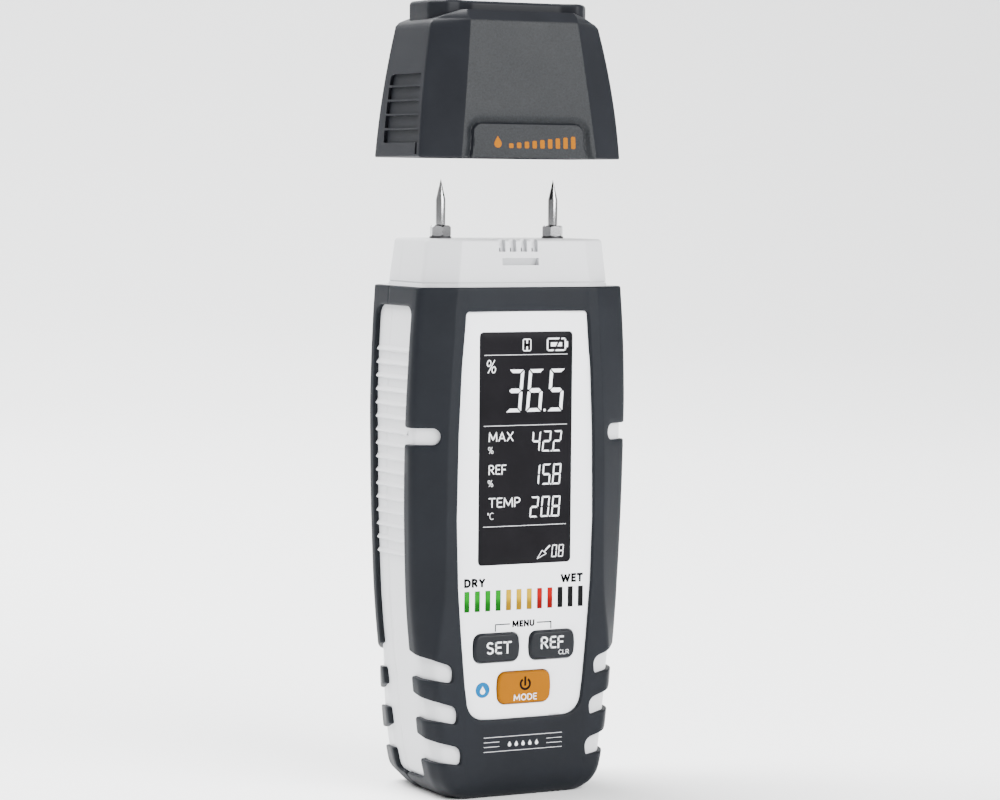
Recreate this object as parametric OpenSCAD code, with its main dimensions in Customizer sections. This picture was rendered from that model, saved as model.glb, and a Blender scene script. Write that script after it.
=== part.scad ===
// Pin-type moisture meter: a two-shell housing with a soft overmoulded skin, a display, three
// buttons, two measuring pins on the head and a protective cap that lifts off above them.
// Units are millimetres. +Z is up, the front faces -Y and the meter stands on z = 0.

/* [Housing] */
// Height of the skinned body, from the base to the shoulder
body_h = 120.5; // [118:0.5:123]
// Half the depth of the body
body_d = 16.7; // [16.7:0.1:17.5]
// Thickness of the soft skin
skin = 1.1; // [0.9:0.1:1.2]
// Wall thickness of the two hard shells
wall = 2.0; // [1.8:0.1:2.1]
// Plane where the front and rear shells meet, measured from the middle
seam_y = 2.6; // [2.4:0.1:2.9]

/* [Measuring head] */
// Height of the white head above the shoulder
head_h = 11.1; // [10.5:0.1:11.5]
// Distance of each measuring pin from the middle
pin_x = 15; // [14:0.5:15.5]
// Radius of a measuring pin
pin_r = 1.15; // [1:0.05:1.2]
// Height of a pin's tip above the top of the head
pin_rise = 14.1; // [12:0.1:15]

/* [Cap] */
// Gap between the cap and the shoulder as the cap is shown
cap_gap = 30.1; // [20:0.1:40]
// Height of the cap up to its rounded shoulders
cap_h = 34.4; // [33.5:0.1:36]
// Wall thickness of the cap
cap_wall = 1.2; // [1:0.1:1.2]

/* [Display and buttons] */
// Width of the display window
window_w = 24.6; // [23:0.2:25]
// Height of the display window
window_h = 54.8; // [52:0.2:55]
// How far the buttons stand proud of the front label
button_rise = 0.9; // [0.8:0.1:0.9]

/* [Battery bay] */
// Width of the battery cover
cover_w = 34; // [33.5:0.5:34]
// Height of the battery cover
cover_h = 53; // [52.5:0.5:54]

/* [Hidden] */
$fn = 32;

eps = 0.01;
big = 80;
mid_facets = 48;

// Body: half width, half width of the flat front, and where the side flat ends in front and
// at the rear, by height
w_table = [[0, 17.5], [2, 20], [5, 22.2], [10, 23.4], [26, 25.4], [48, 27.6], [75, 28.5],
  [90, 28.55], [103, 28.15], [112, 27.65], [body_h, 27]];
flat_table = [[0, 15.4], [2, 18], [5, 20.2], [10, 21.4], [26, 22.4], [48, 22.1], [75, 21.3],
  [90, 20.8], [103, 20.1], [112, 19.4], [body_h, 18.5]];
fore_table = [[0, 9.6], [10, 11], [26, 11.35], [48, 11.8], [75, 12.3], [90, 12.55], [103, 12.75],
  [body_h, 12.95]];
side_table = [[0, 9], [10, 9.6], [26, 10], [48, 10.6], [75, 11.1], [90, 11.3], [103, 11.45],
  [body_h, 11.5]];
depth_table = [[0, body_d - 2.1], [2, body_d - 0.7], [5, body_d]];
body_levels = [0, 2, 5, 10, 26, 48, 75, 90, 103, 112, body_h - eps];

// Depths behind the front: label face, shell face, shell inner face, circuit board
label_y = body_d - button_rise;
shell_y = body_d - skin;
inner_y = shell_y - wall;
board_y = 8.3;
board_t = 1.6;

// Outline of the label's right-hand edge, from the top down
label_edge = concat(
  [for (a = [90:-22.5:0]) [14.3 + 1.7 * cos(a), 113.1 + 1.7 * sin(a)]],
  [[17.1, 102], [17.8, 86], [18.1, 66], [17.6, 50], [16.6, 37]],
  [for (a = [0:-11.25:-90]) [9.2 + 6.4 * cos(a), 25.2 + 6.4 * sin(a)]]);

// Light bars, buttons and window, as seen from the front
bar_n = 12;
bar_pitch = 2.745;
bar_w = 1.35;
bar_h = 4.9;
bar_z = 46.85;
window_z = 82.6;
set_z = 35.7;
set_x = 7.35;
set_size = [12.1, 6.7];
mode_z = 26;
mode_size = [14.1, 7.5];
button_corner = 2;
button_gap = 0.2;
button_travel = 0.8;
stem_r = 1.8;
switch_h = 1;
switch_top_y = board_y + switch_h;
switch_side = 5.2;

// Battery bay and its cover
cell_r = 5.2;
cell_len = 44.5;
cell_pitch = 10.6;
cell_y = 9.0;
cell_z = 42;
cover_z = 42;
bay_half = 16.1;
bay_z = [cover_z - 24.2, cover_z + 24.2];

// Screws: [x, z] of each housing screw and each board screw
housing_spots = [[-16, 108], [16, 108], [-12, 8.2], [12, 8.2]];
board_spots = [[-15.2, 97], [15.2, 97], [-15.2, 24], [15.2, 24]];
boss_r = 2.4;
screw_r = 1.1;
board_screw_r = 0.8;

// Head and cap heights
head_z = body_h;
head_top = head_z + head_h;
nut_z = head_top + 0.5;
nut_h = 2.6;
nut_r = 2.6;
bushing_r = 2;
socket_r = 1.5;
pin_tip_z = head_top + pin_rise;
pin_cone = 4.4;
pin_neck_r = 0.95;
pin_collar_r = 1.45;
cap_z = body_h + cap_gap;

// Vents in the head's front, and the wide shallow pocket below them
vent_n = 4;
vent_pitch = 2.85;
vent_x = -1.9;
vent_w = 1.6;
vent_drop = 2.9;
pocket_w = 9.8;
pocket_x = -5.9;
pocket_drop = 6;
pocket_h = 1.7;

// Side window that bares the white strip: its outline in (y, z)
strip_outline = [[-7.7, 5.2], [-5.2, 4.2], [4.4, 4.2], [6.6, 6.2], [7.3, 30], [7.5, 60],
  [7.7, 85], [8.4, 106], [8.2, 114.2], [6.6, 115.9], [-8.4, 115.9], [-9.9, 114.6], [-10.2, 110],
  [-9.9, 97], [-9.1, 84], [-8.4, 66], [-8.1, 30]];

// Tips of the slots that reach forward and back from the side window, in (x, z)
slot_tips = [[18.6, 30.1], [17.4, 20.2], [16.3, 10.5]];
rear_slot_shift = 1.6;
mid_slot = [22.35, 85.8];
mid_slot_h = 3.9;

// Grip ribs on the white side strips
rib_n = 16;
rib_first_z = 57.4;
rib_pitch = 3.2;
rib_rise = 0.6;

// An eight-sided section: half width, front and rear halves given apart
module octagon(w, front_flat, front_side, front_d, rear_flat, rear_side, rear_d) {
  polygon([[-front_flat, -front_d], [front_flat, -front_d], [w, -front_side], [w, rear_side],
    [rear_flat, rear_d], [-rear_flat, rear_d], [-w, rear_side], [-w, -front_side]]);
}

module body_section(z, inset) {
  w = lookup(z, w_table) - inset;
  flat_half = min(lookup(z, flat_table), w) - inset / 3;
  fore = lookup(z, fore_table) - inset / 2;
  side = lookup(z, side_table) - inset / 2;
  d = lookup(z, depth_table) - inset;
  octagon(w, flat_half, fore, d, flat_half, side, d);
}

// The body's outer form, drawn in by inset all round and cut off at top
module body_form(inset, top) {
  hull()
    for (z = [for (level = body_levels) if (level == 0 || (level > inset + 0.4 && level < top)) level])
      translate([0, 0, z == 0 ? inset : z])
        linear_extrude(eps)
          body_section(z, inset);
}

module body_form_to(inset, top) {
  hull() {
    body_form(inset, top);
    translate([0, 0, top - eps])
      linear_extrude(eps)
        body_section(top, inset);
  }
}

// The white head that rises from the shoulder
module head_form(inset, bottom, top) {
  hull() {
    translate([0, 0, bottom])
      linear_extrude(eps)
        octagon(24.8 - inset, 17.3 - inset / 3, 9.9 - inset / 2, 15 - inset,
          17.3 - inset / 3, 8.6 - inset / 2, 13.4 - inset);
    translate([0, 0, top - 0.6])
      linear_extrude(eps)
        octagon(23.4 - inset, 16.3 - inset / 3, 9.8 - inset / 2, 14.2 - inset,
          16.3 - inset / 3, 8.2 - inset / 2, 12.8 - inset);
    translate([0, 0, top - eps])
      linear_extrude(eps)
        octagon(22.9 - inset, 16 - inset / 3, 9.5 - inset / 2, 13.8 - inset,
          16 - inset / 3, 7.9 - inset / 2, 12.4 - inset);
  }
}

module rounded(size, r) {
  square([size[0] - 2 * r, size[1]], center = true);
  square([size[0], size[1] - 2 * r], center = true);
  for (x = [-1, 1])
    for (z = [-1, 1])
      translate([x * (size[0] / 2 - r), z * (size[1] / 2 - r)])
        circle(r);
}

// Extrudes a front-view outline (x, z) from y0 back to y1
module from_front(y0, y1) {
  translate([0, y1, 0])
    rotate([90, 0, 0])
      linear_extrude(y1 - y0)
        children();
}

// Extrudes a side-view outline (y, z) from x0 to x1
module from_side(x0, x1) {
  translate([x0, 0, 0])
    rotate([90, 0, 90])
      linear_extrude(x1 - x0)
        children();
}

module both_sides() {
  children();
  mirror([1, 0, 0])
    children();
}

module front_half() {
  translate([-big, -big, -1])
    cube([2 * big, big + seam_y, 3 * big]);
}

module rear_half() {
  translate([-big, seam_y, -1])
    cube([2 * big, big, 3 * big]);
}

module label_outline() {
  polygon(concat(label_edge, [for (i = [len(label_edge) - 1:-1:0]) [-label_edge[i][0], label_edge[i][1]]]));
}

module window_outline(margin) {
  translate([0, window_z])
    rounded([window_w + 2 * margin, window_h + 2 * margin], 1 + margin);
}

module bars_outline(first, last, margin) {
  for (i = [first:last])
    translate([(i - (bar_n - 1) / 2) * bar_pitch, bar_z])
      square([bar_w + 2 * margin, bar_h + 2 * margin], center = true);
}

module set_outline(side, margin) {
  translate([side * set_x, set_z])
    rounded([set_size[0] + 2 * margin, set_size[1] + 2 * margin], button_corner + margin);
}

module mode_outline(margin) {
  translate([0, mode_z])
    rounded([mode_size[0] + 2 * margin, mode_size[1] + 2 * margin], button_corner + margin);
}

module face_holes() {
  window_outline(0.05);
  bars_outline(0, bar_n - 1, 0.05);
  set_outline(-1, button_gap);
  set_outline(1, button_gap);
  mode_outline(button_gap);
}

// Ribs across the white side strips
module strip_ribs() {
  for (i = [0:rib_n - 1]) {
    z = rib_first_z + i * rib_pitch;
    x = lookup(z, w_table) - skin;
    translate([0, 6.6, 0])
      rotate([90, 0, 0])
        linear_extrude(14.4)
          polygon([[x - 0.5, z - 0.9], [x + rib_rise, z], [x - 0.5, z + 0.9]]);
  }
}

module shell_wall() {
  difference() {
    union() {
      body_form_to(skin, body_h);
      head_form(0, head_z - 1, head_top);
      both_sides()
        strip_ribs();
    }
    body_form_to(skin + wall, body_h - wall);
    head_form(wall, head_z - wall - 0.2, head_top - wall);
  }
}

module head_vents() {
  for (i = [0:vent_n - 1])
    translate([vent_x + (i - (vent_n - 1) / 2) * vent_pitch - vent_w / 2, -16, head_top - vent_drop]) {
      cube([vent_w, 2.9, 4]);
      cube([vent_w, 5, 0.8]);
    }
  translate([pocket_x, -16, head_top - pocket_drop])
    cube([pocket_w, 5, pocket_h]);
}

module front_shell() {
  color("whitesmoke")
    difference() {
      union() {
        intersection() {
          shell_wall();
          front_half();
        }
        for (spot = housing_spots)
          translate([spot[0], seam_y, spot[1]])
            rotate([90, 0, 0])
              cylinder(r = boss_r, h = seam_y + inner_y + 0.3);
        for (spot = board_spots)
          translate([spot[0], -board_y, spot[1]])
            rotate([90, 0, 0])
              cylinder(r = 1.9, h = inner_y - board_y + 0.3);
      }
      from_front(-body_d, -inner_y + 0.5)
        face_holes();
      for (spot = housing_spots)
        translate([spot[0], seam_y + 1, spot[1]])
          rotate([90, 0, 0])
            cylinder(r = screw_r + 0.05, h = 9);
      for (spot = board_spots)
        translate([spot[0], -board_y + 1, spot[1]])
          rotate([90, 0, 0])
            cylinder(r = board_screw_r + 0.05, h = 5);
      for (side = [-1, 1])
        translate([side * pin_x, 0, head_top - 6])
          cylinder(r = bushing_r + 0.05, h = 10);
      head_vents();
    }
}

module bay_walls() {
  from_front(seam_y + 0.2, inner_y + 0.3)
    difference() {
      translate([0, cover_z])
        square([2 * bay_half + 2.4, bay_z[1] - bay_z[0] + 2.4], center = true);
      translate([0, cover_z])
        square([2 * bay_half, bay_z[1] - bay_z[0]], center = true);
    }
  from_front(seam_y + 0.2, cell_y - cell_r - 0.2)
    translate([0, cover_z])
      square([2 * bay_half + 1, bay_z[1] - bay_z[0] + 1], center = true);
}

module rear_shell() {
  color("whitesmoke")
    difference() {
      union() {
        intersection() {
          shell_wall();
          rear_half();
        }
        for (spot = housing_spots)
          translate([spot[0], inner_y + 0.3, spot[1]])
            rotate([90, 0, 0])
              cylinder(r = boss_r, h = inner_y + 0.3 - seam_y);
        bay_walls();
      }
      from_front(inner_y - 0.5, body_d)
        translate([0, cover_z])
          square([2 * bay_half, bay_z[1] - bay_z[0]], center = true);
      for (spot = housing_spots)
        translate([spot[0], body_d, spot[1]])
          rotate([90, 0, 0]) {
            cylinder(r = screw_r + 0.25, h = body_d);
            cylinder(r = 2.2, h = 6);
          }
    }
}

module slanted_slot(tip_x, tip_z) {
  polygon([[32, tip_z + 8.4], [25.6, tip_z + 5.2], [21.5, tip_z + 3.2], [tip_x + 1.4, tip_z + 1.9],
    [tip_x + 0.4, tip_z + 0.9], [tip_x, tip_z - 0.5], [tip_x + 0.5, tip_z - 1.9], [32, tip_z - 1]]);
}

module side_windows() {
  both_sides() {
    from_side(18, 32)
      polygon(strip_outline);
    for (tip = slot_tips) {
      from_front(-big, -6.5)
        slanted_slot(tip[0], tip[1]);
      from_front(6, big)
        slanted_slot(tip[0] + rear_slot_shift, tip[1]);
    }
    from_front(-big, -7.5)
      translate([mid_slot[0] + 6, mid_slot[1]])
        rounded([12, mid_slot_h], mid_slot_h / 2 - eps);
  }
}

module skin_wall() {
  difference() {
    body_form_to(0, body_h);
    body_form_to(skin, body_h + 1);
    side_windows();
  }
}

module front_skin() {
  color("dimgray")
    difference() {
      intersection() {
        skin_wall();
        front_half();
      }
      from_front(-big, -inner_y)
        label_outline();
    }
}

module rear_skin() {
  color("dimgray")
    difference() {
      intersection() {
        skin_wall();
        rear_half();
      }
      from_front(inner_y, big)
        translate([0, cover_z])
          rounded([cover_w + 0.4, cover_h + 0.4], 3.2);
      for (spot = housing_spots)
        translate([spot[0], big, spot[1]])
          rotate([90, 0, 0])
            cylinder(r = 2.6, h = big);
    }
}

module front_label() {
  color("white")
    from_front(-label_y, -shell_y)
      difference() {
        label_outline();
        face_holes();
      }
}

module display_window() {
  color("black")
    from_front(-label_y + 0.1, -inner_y - 0.4)
      window_outline(0);
}

module lcd_holder() {
  color("gray")
    difference() {
      from_front(-inner_y + 0.05, -board_y)
        translate([0, window_z])
          square([26, 58.6], center = true);
      from_front(-inner_y - 1, 0)
        translate([0, window_z])
          square([24.2, 56.8], center = true);
    }
}

module lcd_panel() {
  color("darkslategray")
    from_front(-inner_y + 0.15, -inner_y + 2)
      translate([0, window_z])
        square([24, 56.6], center = true);
}

module lcd_backlight() {
  color("ivory")
    from_front(-inner_y + 2, -board_y - 0.9)
      translate([0, window_z - 1.6])
        square([24, 53.2], center = true);
}

module lcd_connector() {
  color("pink")
    from_front(-inner_y + 2, -board_y)
      translate([0, window_z + 26.8])
        square([22, 2], center = true);
}

module main_board() {
  color("darkgreen")
    difference() {
      from_front(-board_y, -board_y + board_t)
        union() {
          translate([-17.2, 21])
            square([34.4, 79]);
          translate([-12.5, 99])
            square([25, 14]);
        }
      for (spot = board_spots)
        translate([spot[0], 0, spot[1]])
          rotate([90, 0, 0])
            cylinder(r = board_screw_r + 0.2, h = 12);
    }
}

module main_chip() {
  color("black")
    from_front(-board_y + board_t, -board_y + board_t + 1.5)
      translate([0, 84])
        square([12, 12], center = true);
}

module indicator_leds() {
  color("ivory")
    from_front(-board_y - 1, -board_y)
      for (i = [0:bar_n - 1])
        translate([(i - (bar_n - 1) / 2) * bar_pitch, bar_z])
          square([1.2, 2], center = true);
}

module light_bars(first, last) {
  from_front(-label_y, -board_y - 1.2)
    bars_outline(first, last, 0);
}

module green_light_bars() {
  color("limegreen")
    light_bars(0, 3);
}

module yellow_light_bars() {
  color("gold")
    light_bars(4, 6);
}

module red_light_bars() {
  color("red")
    light_bars(7, 8);
}

module dark_light_bars() {
  color("black")
    light_bars(9, 11);
}

module tact_switches() {
  color("silver")
    for (spot = [[-set_x, set_z], [set_x, set_z], [0, mode_z]])
      translate([spot[0] - switch_side / 2, -switch_top_y, spot[1] - switch_side / 2])
        cube([switch_side, switch_h, switch_side]);
}

// A button's stem, seen from the front at its middle
module button_stem(x, z) {
  translate([x, -switch_top_y - button_travel - 0.15, z])
    rotate([90, 0, 0])
      cylinder(r = stem_r, h = inner_y - 0.8 - switch_top_y - button_travel - 0.1);
}

module set_form(side) {
  from_front(-body_d, -inner_y)
    set_outline(side, 0);
  from_front(-inner_y + 0.1, -inner_y + 0.9)
    translate([side * set_x, set_z])
      rounded([set_size[0] + 1.4, set_size[1] + 1.2], button_corner);
  from_front(-inner_y - 0.1, -inner_y + 0.2)
    translate([side * set_x, set_z])
      square([8, 4], center = true);
  button_stem(side * set_x, set_z);
}

module set_button() {
  color("darkslategray")
    set_form(-1);
}

module ref_button() {
  color("darkslategray")
    set_form(1);
}

module mode_button() {
  color("orange") {
    from_front(-body_d, -inner_y)
      mode_outline(0);
    from_front(-inner_y + 0.1, -inner_y + 0.9)
      translate([0, mode_z])
        rounded([mode_size[0] + 1.4, mode_size[1] + 0.6], button_corner);
    from_front(-inner_y - 0.1, -inner_y + 0.2)
      translate([0, mode_z])
        square([8, 4], center = true);
    button_stem(0, mode_z);
  }
}

module sensor_board() {
  color("darkgreen")
    from_front(-10, -9)
      translate([-5, 114])
        square([10, 15]);
}

module humidity_sensor() {
  color("ivory")
    from_front(-11.2, -10)
      translate([-2.5, 123])
        square([3.4, 3.4]);
}

// Brass socket: a stud that stands out of the head, with a flange inside
module electrode_sockets() {
  color("gold")
    for (side = [-1, 1])
      translate([side * pin_x, 0, 0])
        difference() {
          union() {
            translate([0, 0, head_top - 9.5])
              cylinder(r = socket_r, h = 11.2, $fn = mid_facets);
            translate([0, 0, head_top - 4.4])
              cylinder(r = 3, h = 2.2, $fn = mid_facets);
          }
          translate([0, 0, head_top - 6])
            cylinder(r = 0.85, h = 12);
        }
}

module socket_bushings() {
  color("black")
    for (side = [-1, 1])
      translate([side * pin_x, 0, head_top - wall])
        difference() {
          union() {
            cylinder(r = bushing_r, h = wall + 0.2, $fn = mid_facets);
            translate([0, 0, wall])
              cylinder(r = nut_r, h = nut_z - head_top, $fn = mid_facets);
          }
          translate([0, 0, -1])
            cylinder(r = socket_r + 0.05, h = 6);
        }
}

// Pin: a shank in the socket, a collar held down by the nut, an undercut neck, shaft and point
module measuring_pin(side) {
  shank_bottom = head_top - 5.6;
  collar_z = head_top + 1.8;
  neck_z = collar_z + 0.5;
  shaft_z = nut_z + nut_h + 0.05;
  shoulder_z = pin_tip_z - pin_cone;
  color("silver")
    translate([side * pin_x, 0, 0])
      rotate_extrude($fn = mid_facets)
        polygon([[0, shank_bottom], [0.8, shank_bottom], [0.8, collar_z], [pin_collar_r, collar_z],
          [pin_collar_r, neck_z], [pin_neck_r, neck_z], [pin_neck_r, shaft_z], [pin_r, shaft_z],
          [pin_r, shoulder_z], [0.12, pin_tip_z], [0, pin_tip_z]]);
}

module left_pin() {
  measuring_pin(-1);
}

module right_pin() {
  measuring_pin(1);
}

module union_nut(side) {
  color("silver")
    translate([side * pin_x, 0, nut_z])
      difference() {
        intersection() {
          cylinder(r = nut_r, h = nut_h, $fn = 6);
          rotate_extrude($fn = mid_facets)
            polygon([[0, 0], [nut_r - 0.3, 0], [nut_r + 0.05, 0.3], [nut_r + 0.05, nut_h - 0.3],
              [nut_r - 0.3, nut_h], [0, nut_h]]);
        }
        translate([0, 0, -1])
          cylinder(r = socket_r + 0.1, h = 1 + nut_h - 0.75);
        cylinder(r = pin_r + 0.1, h = 6);
      }
}

module left_nut() {
  union_nut(-1);
}

module right_nut() {
  union_nut(1);
}

// Bent strips that carry the signal from the sockets to the board
module socket_leads() {
  color("peru")
    both_sides() {
      translate([pin_x - 0.6, -0.3, 111.5])
        cube([1.2, 0.6, head_top - 9.5 - 111.5]);
      translate([11, -0.3, 111.5])
        cube([pin_x + 0.6 - 11, 0.6, 1.2]);
      translate([11, -board_y + board_t, 111.5])
        cube([1.2, board_y - board_t + 0.3, 1.2]);
    }
}

module battery(i) {
  color("royalblue")
    translate([i * cell_pitch, cell_y, cell_z - cell_len / 2]) {
      cylinder(r = cell_r, h = cell_len - 1, $fn = mid_facets);
      translate([0, 0, cell_len - 1 - eps])
        cylinder(r = 1.9, h = 1 + eps);
    }
}

module battery_left() {
  battery(-1);
}

module battery_middle() {
  battery(0);
}

module battery_right() {
  battery(1);
}

// Coil springs under the cells, between each cell and its lower contact plate
module battery_springs() {
  color("silver")
    for (i = [-1:1])
      translate([i * cell_pitch, cell_y, bay_z[0] + 0.6])
        linear_extrude(height = cell_z - cell_len / 2 - bay_z[0] - 0.65, twist = -720, slices = 32)
          translate([2.4, 0])
            circle(0.4, $fn = 8);
}

module battery_plates() {
  color("silver")
    for (i = [-1:1])
      for (z = [bay_z[0] + 0.1, bay_z[1] - 0.6])
        translate([i * cell_pitch - 4, cell_y - 4, z])
          cube([8, 8, 0.5]);
}

// Cover: outer plate flush with the skin, plug in the bay's mouth, thumb groove near the top
module battery_cover() {
  color("dimgray")
    difference() {
      union() {
        from_front(shell_y + 0.1, body_d)
          translate([0, cover_z])
            rounded([cover_w, cover_h], 3);
        from_front(inner_y + 1, shell_y + 0.2)
          translate([0, cover_z])
            square([2 * bay_half - 0.4, bay_z[1] - bay_z[0] - 0.4], center = true);
      }
      for (i = [0:2])
        from_front(body_d - 0.5, body_d + 1)
          translate([0, cover_z + cover_h / 2 - 6 - i * 2.4])
            rounded([14 - i * 3, 1.1], 0.5);
    }
}

module screw(head_r, head_h, shaft_r, length) {
  difference() {
    union() {
      cylinder(r = head_r, h = head_h);
      translate([0, 0, head_h - eps])
        cylinder(r = shaft_r, h = length - head_h);
    }
    for (turn = [0, 90])
      rotate(turn)
        translate([-head_r * 0.6, -0.25, -1])
          cube([head_r * 1.2, 0.5, 1.6]);
  }
}

module housing_screws() {
  color("silver")
    for (spot = housing_spots)
      translate([spot[0], body_d - 4.2, spot[1]])
        rotate([90, 0, 0])
          screw(2.1, 1.8, screw_r, 15);
}

module board_screws() {
  color("silver")
    for (spot = board_spots)
      translate([spot[0], -board_y + board_t + 1.2, spot[1]])
        rotate([90, 0, 0])
          screw(1.6, 1.2, board_screw_r, 6);
}

// Cap: side and front walls lean in towards the top, faster the higher they are
function cap_half_w(h) = 26.6 - 0.06 * h - 0.0025 * h * h;
function cap_half_d(h) = 16.6 - 0.06 * h - 0.0012 * h * h;
function cap_side(h) = 12.1 - 0.05 * h - 0.002 * h * h;

module cap_section(h, inset) {
  w = cap_half_w(h) - inset;
  flat_half = 17.8 - 0.115 * h - inset / 3;
  d = cap_half_d(h) - inset;
  octagon(w, flat_half, cap_side(h) - inset / 2, d, flat_half, 12.4 - 0.065 * h - inset / 2, d);
}

module cap_form(inset, top) {
  hull()
    for (h = [0, 6, 12, 18, 24, top])
      translate([0, 0, cap_z + h])
        linear_extrude(eps)
          cap_section(h, inset);
}

module cap_shell() {
  shoulder = cap_h - 3.4;
  color("dimgray")
    difference() {
      union() {
        hull() {
          cap_form(0, shoulder);
          translate([0, 0, cap_z + cap_h - 1.9])
            linear_extrude(eps)
              octagon(21.6, 15, 8, 12.6, 15, 9.8, 12.6);
          translate([0, 0, cap_z + cap_h - eps])
            linear_extrude(eps)
              octagon(14.6, 12.6, 8, 11.4, 12.6, 8, 10.4);
        }
        translate([0, 0, cap_z + shoulder])
          linear_extrude(cap_h - shoulder + 2.4)
            octagon(20.9, 16.4, 4.6, 8.4, 16.4, 5.6, 9.4);
      }
      translate([0, 0, -eps])
        cap_form(cap_wall, shoulder - 2);
    }
}

front_shell();
rear_shell();
front_skin();
rear_skin();
front_label();
display_window();
lcd_holder();
lcd_panel();
lcd_backlight();
lcd_connector();
main_board();
main_chip();
indicator_leds();
green_light_bars();
yellow_light_bars();
red_light_bars();
dark_light_bars();
tact_switches();
set_button();
ref_button();
mode_button();
sensor_board();
humidity_sensor();
electrode_sockets();
socket_bushings();
left_pin();
right_pin();
left_nut();
right_nut();
socket_leads();
battery_left();
battery_middle();
battery_right();
battery_springs();
battery_plates();
battery_cover();
housing_screws();
board_screws();
cap_shell();
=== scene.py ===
import math

import bmesh
import bpy
import numpy as np
from mathutils import Matrix, Vector
from mathutils.geometry import delaunay_2d_cdt


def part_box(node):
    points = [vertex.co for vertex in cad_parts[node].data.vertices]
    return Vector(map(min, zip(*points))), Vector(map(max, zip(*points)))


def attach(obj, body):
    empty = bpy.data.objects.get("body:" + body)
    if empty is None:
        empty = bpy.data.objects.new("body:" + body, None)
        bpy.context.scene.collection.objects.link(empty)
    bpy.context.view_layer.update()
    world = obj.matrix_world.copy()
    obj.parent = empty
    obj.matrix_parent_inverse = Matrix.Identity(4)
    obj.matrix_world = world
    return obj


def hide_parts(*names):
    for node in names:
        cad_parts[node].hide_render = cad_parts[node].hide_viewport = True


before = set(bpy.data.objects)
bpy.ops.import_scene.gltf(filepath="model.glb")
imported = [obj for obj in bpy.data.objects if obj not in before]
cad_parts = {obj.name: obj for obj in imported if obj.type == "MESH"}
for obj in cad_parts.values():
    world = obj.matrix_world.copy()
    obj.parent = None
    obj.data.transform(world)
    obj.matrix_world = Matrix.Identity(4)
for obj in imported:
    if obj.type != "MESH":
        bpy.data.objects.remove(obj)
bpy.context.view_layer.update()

# Lengths in this script are millimetres; MM turns them into metres when a mesh is made.
MM = 0.001


def cad_box(node):
    """Lowest and highest corner of a CAD node, in millimetres."""
    low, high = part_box(node)
    return np.array(low) / MM, np.array(high) / MM


# ---------------------------------------------------------------- sizes taken from the frame

SKIN_LOW, SKIN_HIGH = cad_box("front_skin")
LABEL_LOW, LABEL_HIGH = cad_box("front_label")
WINDOW_LOW, WINDOW_HIGH = cad_box("display_window")
CAP_LOW, CAP_HIGH = cad_box("cap_shell")
BODY_H = SKIN_HIGH[2]
BODY_D = -SKIN_LOW[1]
SEAM_Y = SKIN_HIGH[1]
LABEL_Y = -LABEL_LOW[1]
SHELL_Y = -LABEL_HIGH[1]
SKIN_T = BODY_D - SHELL_Y
WALL_T = 2.0
PRINT_T = 0.03
HEAD_TOP = cad_box("front_shell")[1][2]
CAP_Z = CAP_LOW[2]
CAP_TOP = CAP_HIGH[2]


# ---------------------------------------------------------------- curves and paths

def smooth_curve(points):
    """A function through the points that never overshoots them (a monotone cubic)."""
    x, y = (np.array(column, float) for column in zip(*sorted(points)))
    step = np.diff(x)
    slope = np.diff(y) / step
    tangent = np.zeros(len(x))
    tangent[0], tangent[-1] = slope[0], slope[-1]
    for i in range(1, len(x) - 1):
        if slope[i - 1] * slope[i] > 0:
            before, after = 2 * step[i] + step[i - 1], step[i] + 2 * step[i - 1]
            tangent[i] = (before + after) / (before / slope[i - 1] + after / slope[i])

    def value(at):
        at = np.clip(np.asarray(at, float), x[0], x[-1])
        i = np.clip(np.searchsorted(x, at) - 1, 0, len(x) - 2)
        t = (at - x[i]) / step[i]
        return (
            y[i] * (2 * t**3 - 3 * t**2 + 1)
            + tangent[i] * step[i] * (t**3 - 2 * t**2 + t)
            + y[i + 1] * (3 * t**2 - 2 * t**3)
            + tangent[i + 1] * step[i] * (t**3 - t**2)
        )

    return value


def unit(v):
    return v / np.maximum(np.linalg.norm(v, axis=-1, keepdims=True), 1e-9)


def rounded_paths(corners, radii, straights, arc=5):
    """Open paths with rounded corners. corners is [path, corner, 2] and radii [path, inner corner].

    straights gives the number of points on each straight stretch, so every path has as many."""
    corners = np.asarray(corners, float)
    pieces = []
    start = corners[:, 0]
    for i in range(1, corners.shape[1]):
        count = straights[i - 1]
        last = i == corners.shape[1] - 1
        if last:
            stop = corners[:, i]
        else:
            here = corners[:, i]
            back, on = unit(corners[:, i - 1] - here), unit(corners[:, i + 1] - here)
            half = np.arccos(np.clip((back * on).sum(1), -1, 1)) / 2
            reach = radii[:, i - 1] / np.tan(half)
            room = np.minimum(
                np.linalg.norm(corners[:, i - 1] - here, axis=1),
                np.linalg.norm(corners[:, i + 1] - here, axis=1),
            )
            reach = np.minimum(reach, 0.45 * room)
            radius = reach * np.tan(half)
            stop = here + back * reach[:, None]
            centre = here + unit(back + on) * (radius / np.sin(half))[:, None]
        t = np.linspace(0, 1, count, endpoint=last)[None, :, None]
        pieces.append(start[:, None] * (1 - t) + stop[:, None] * t)
        if not last:
            end = here + on * reach[:, None]
            first, final = stop - centre, end - centre
            turn = np.arctan2(
                first[:, 0] * final[:, 1] - first[:, 1] * final[:, 0], (first * final).sum(1)
            )
            angle = turn[:, None] * np.linspace(0, 1, arc, endpoint=False)[None]
            cos, sin = np.cos(angle), np.sin(angle)
            x = centre[:, :1] + first[:, :1] * cos - first[:, 1:] * sin
            y = centre[:, 1:] + first[:, :1] * sin + first[:, 1:] * cos
            pieces.append(np.stack([x, y], -1))
            start = end
    return np.concatenate(pieces, 1)


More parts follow.
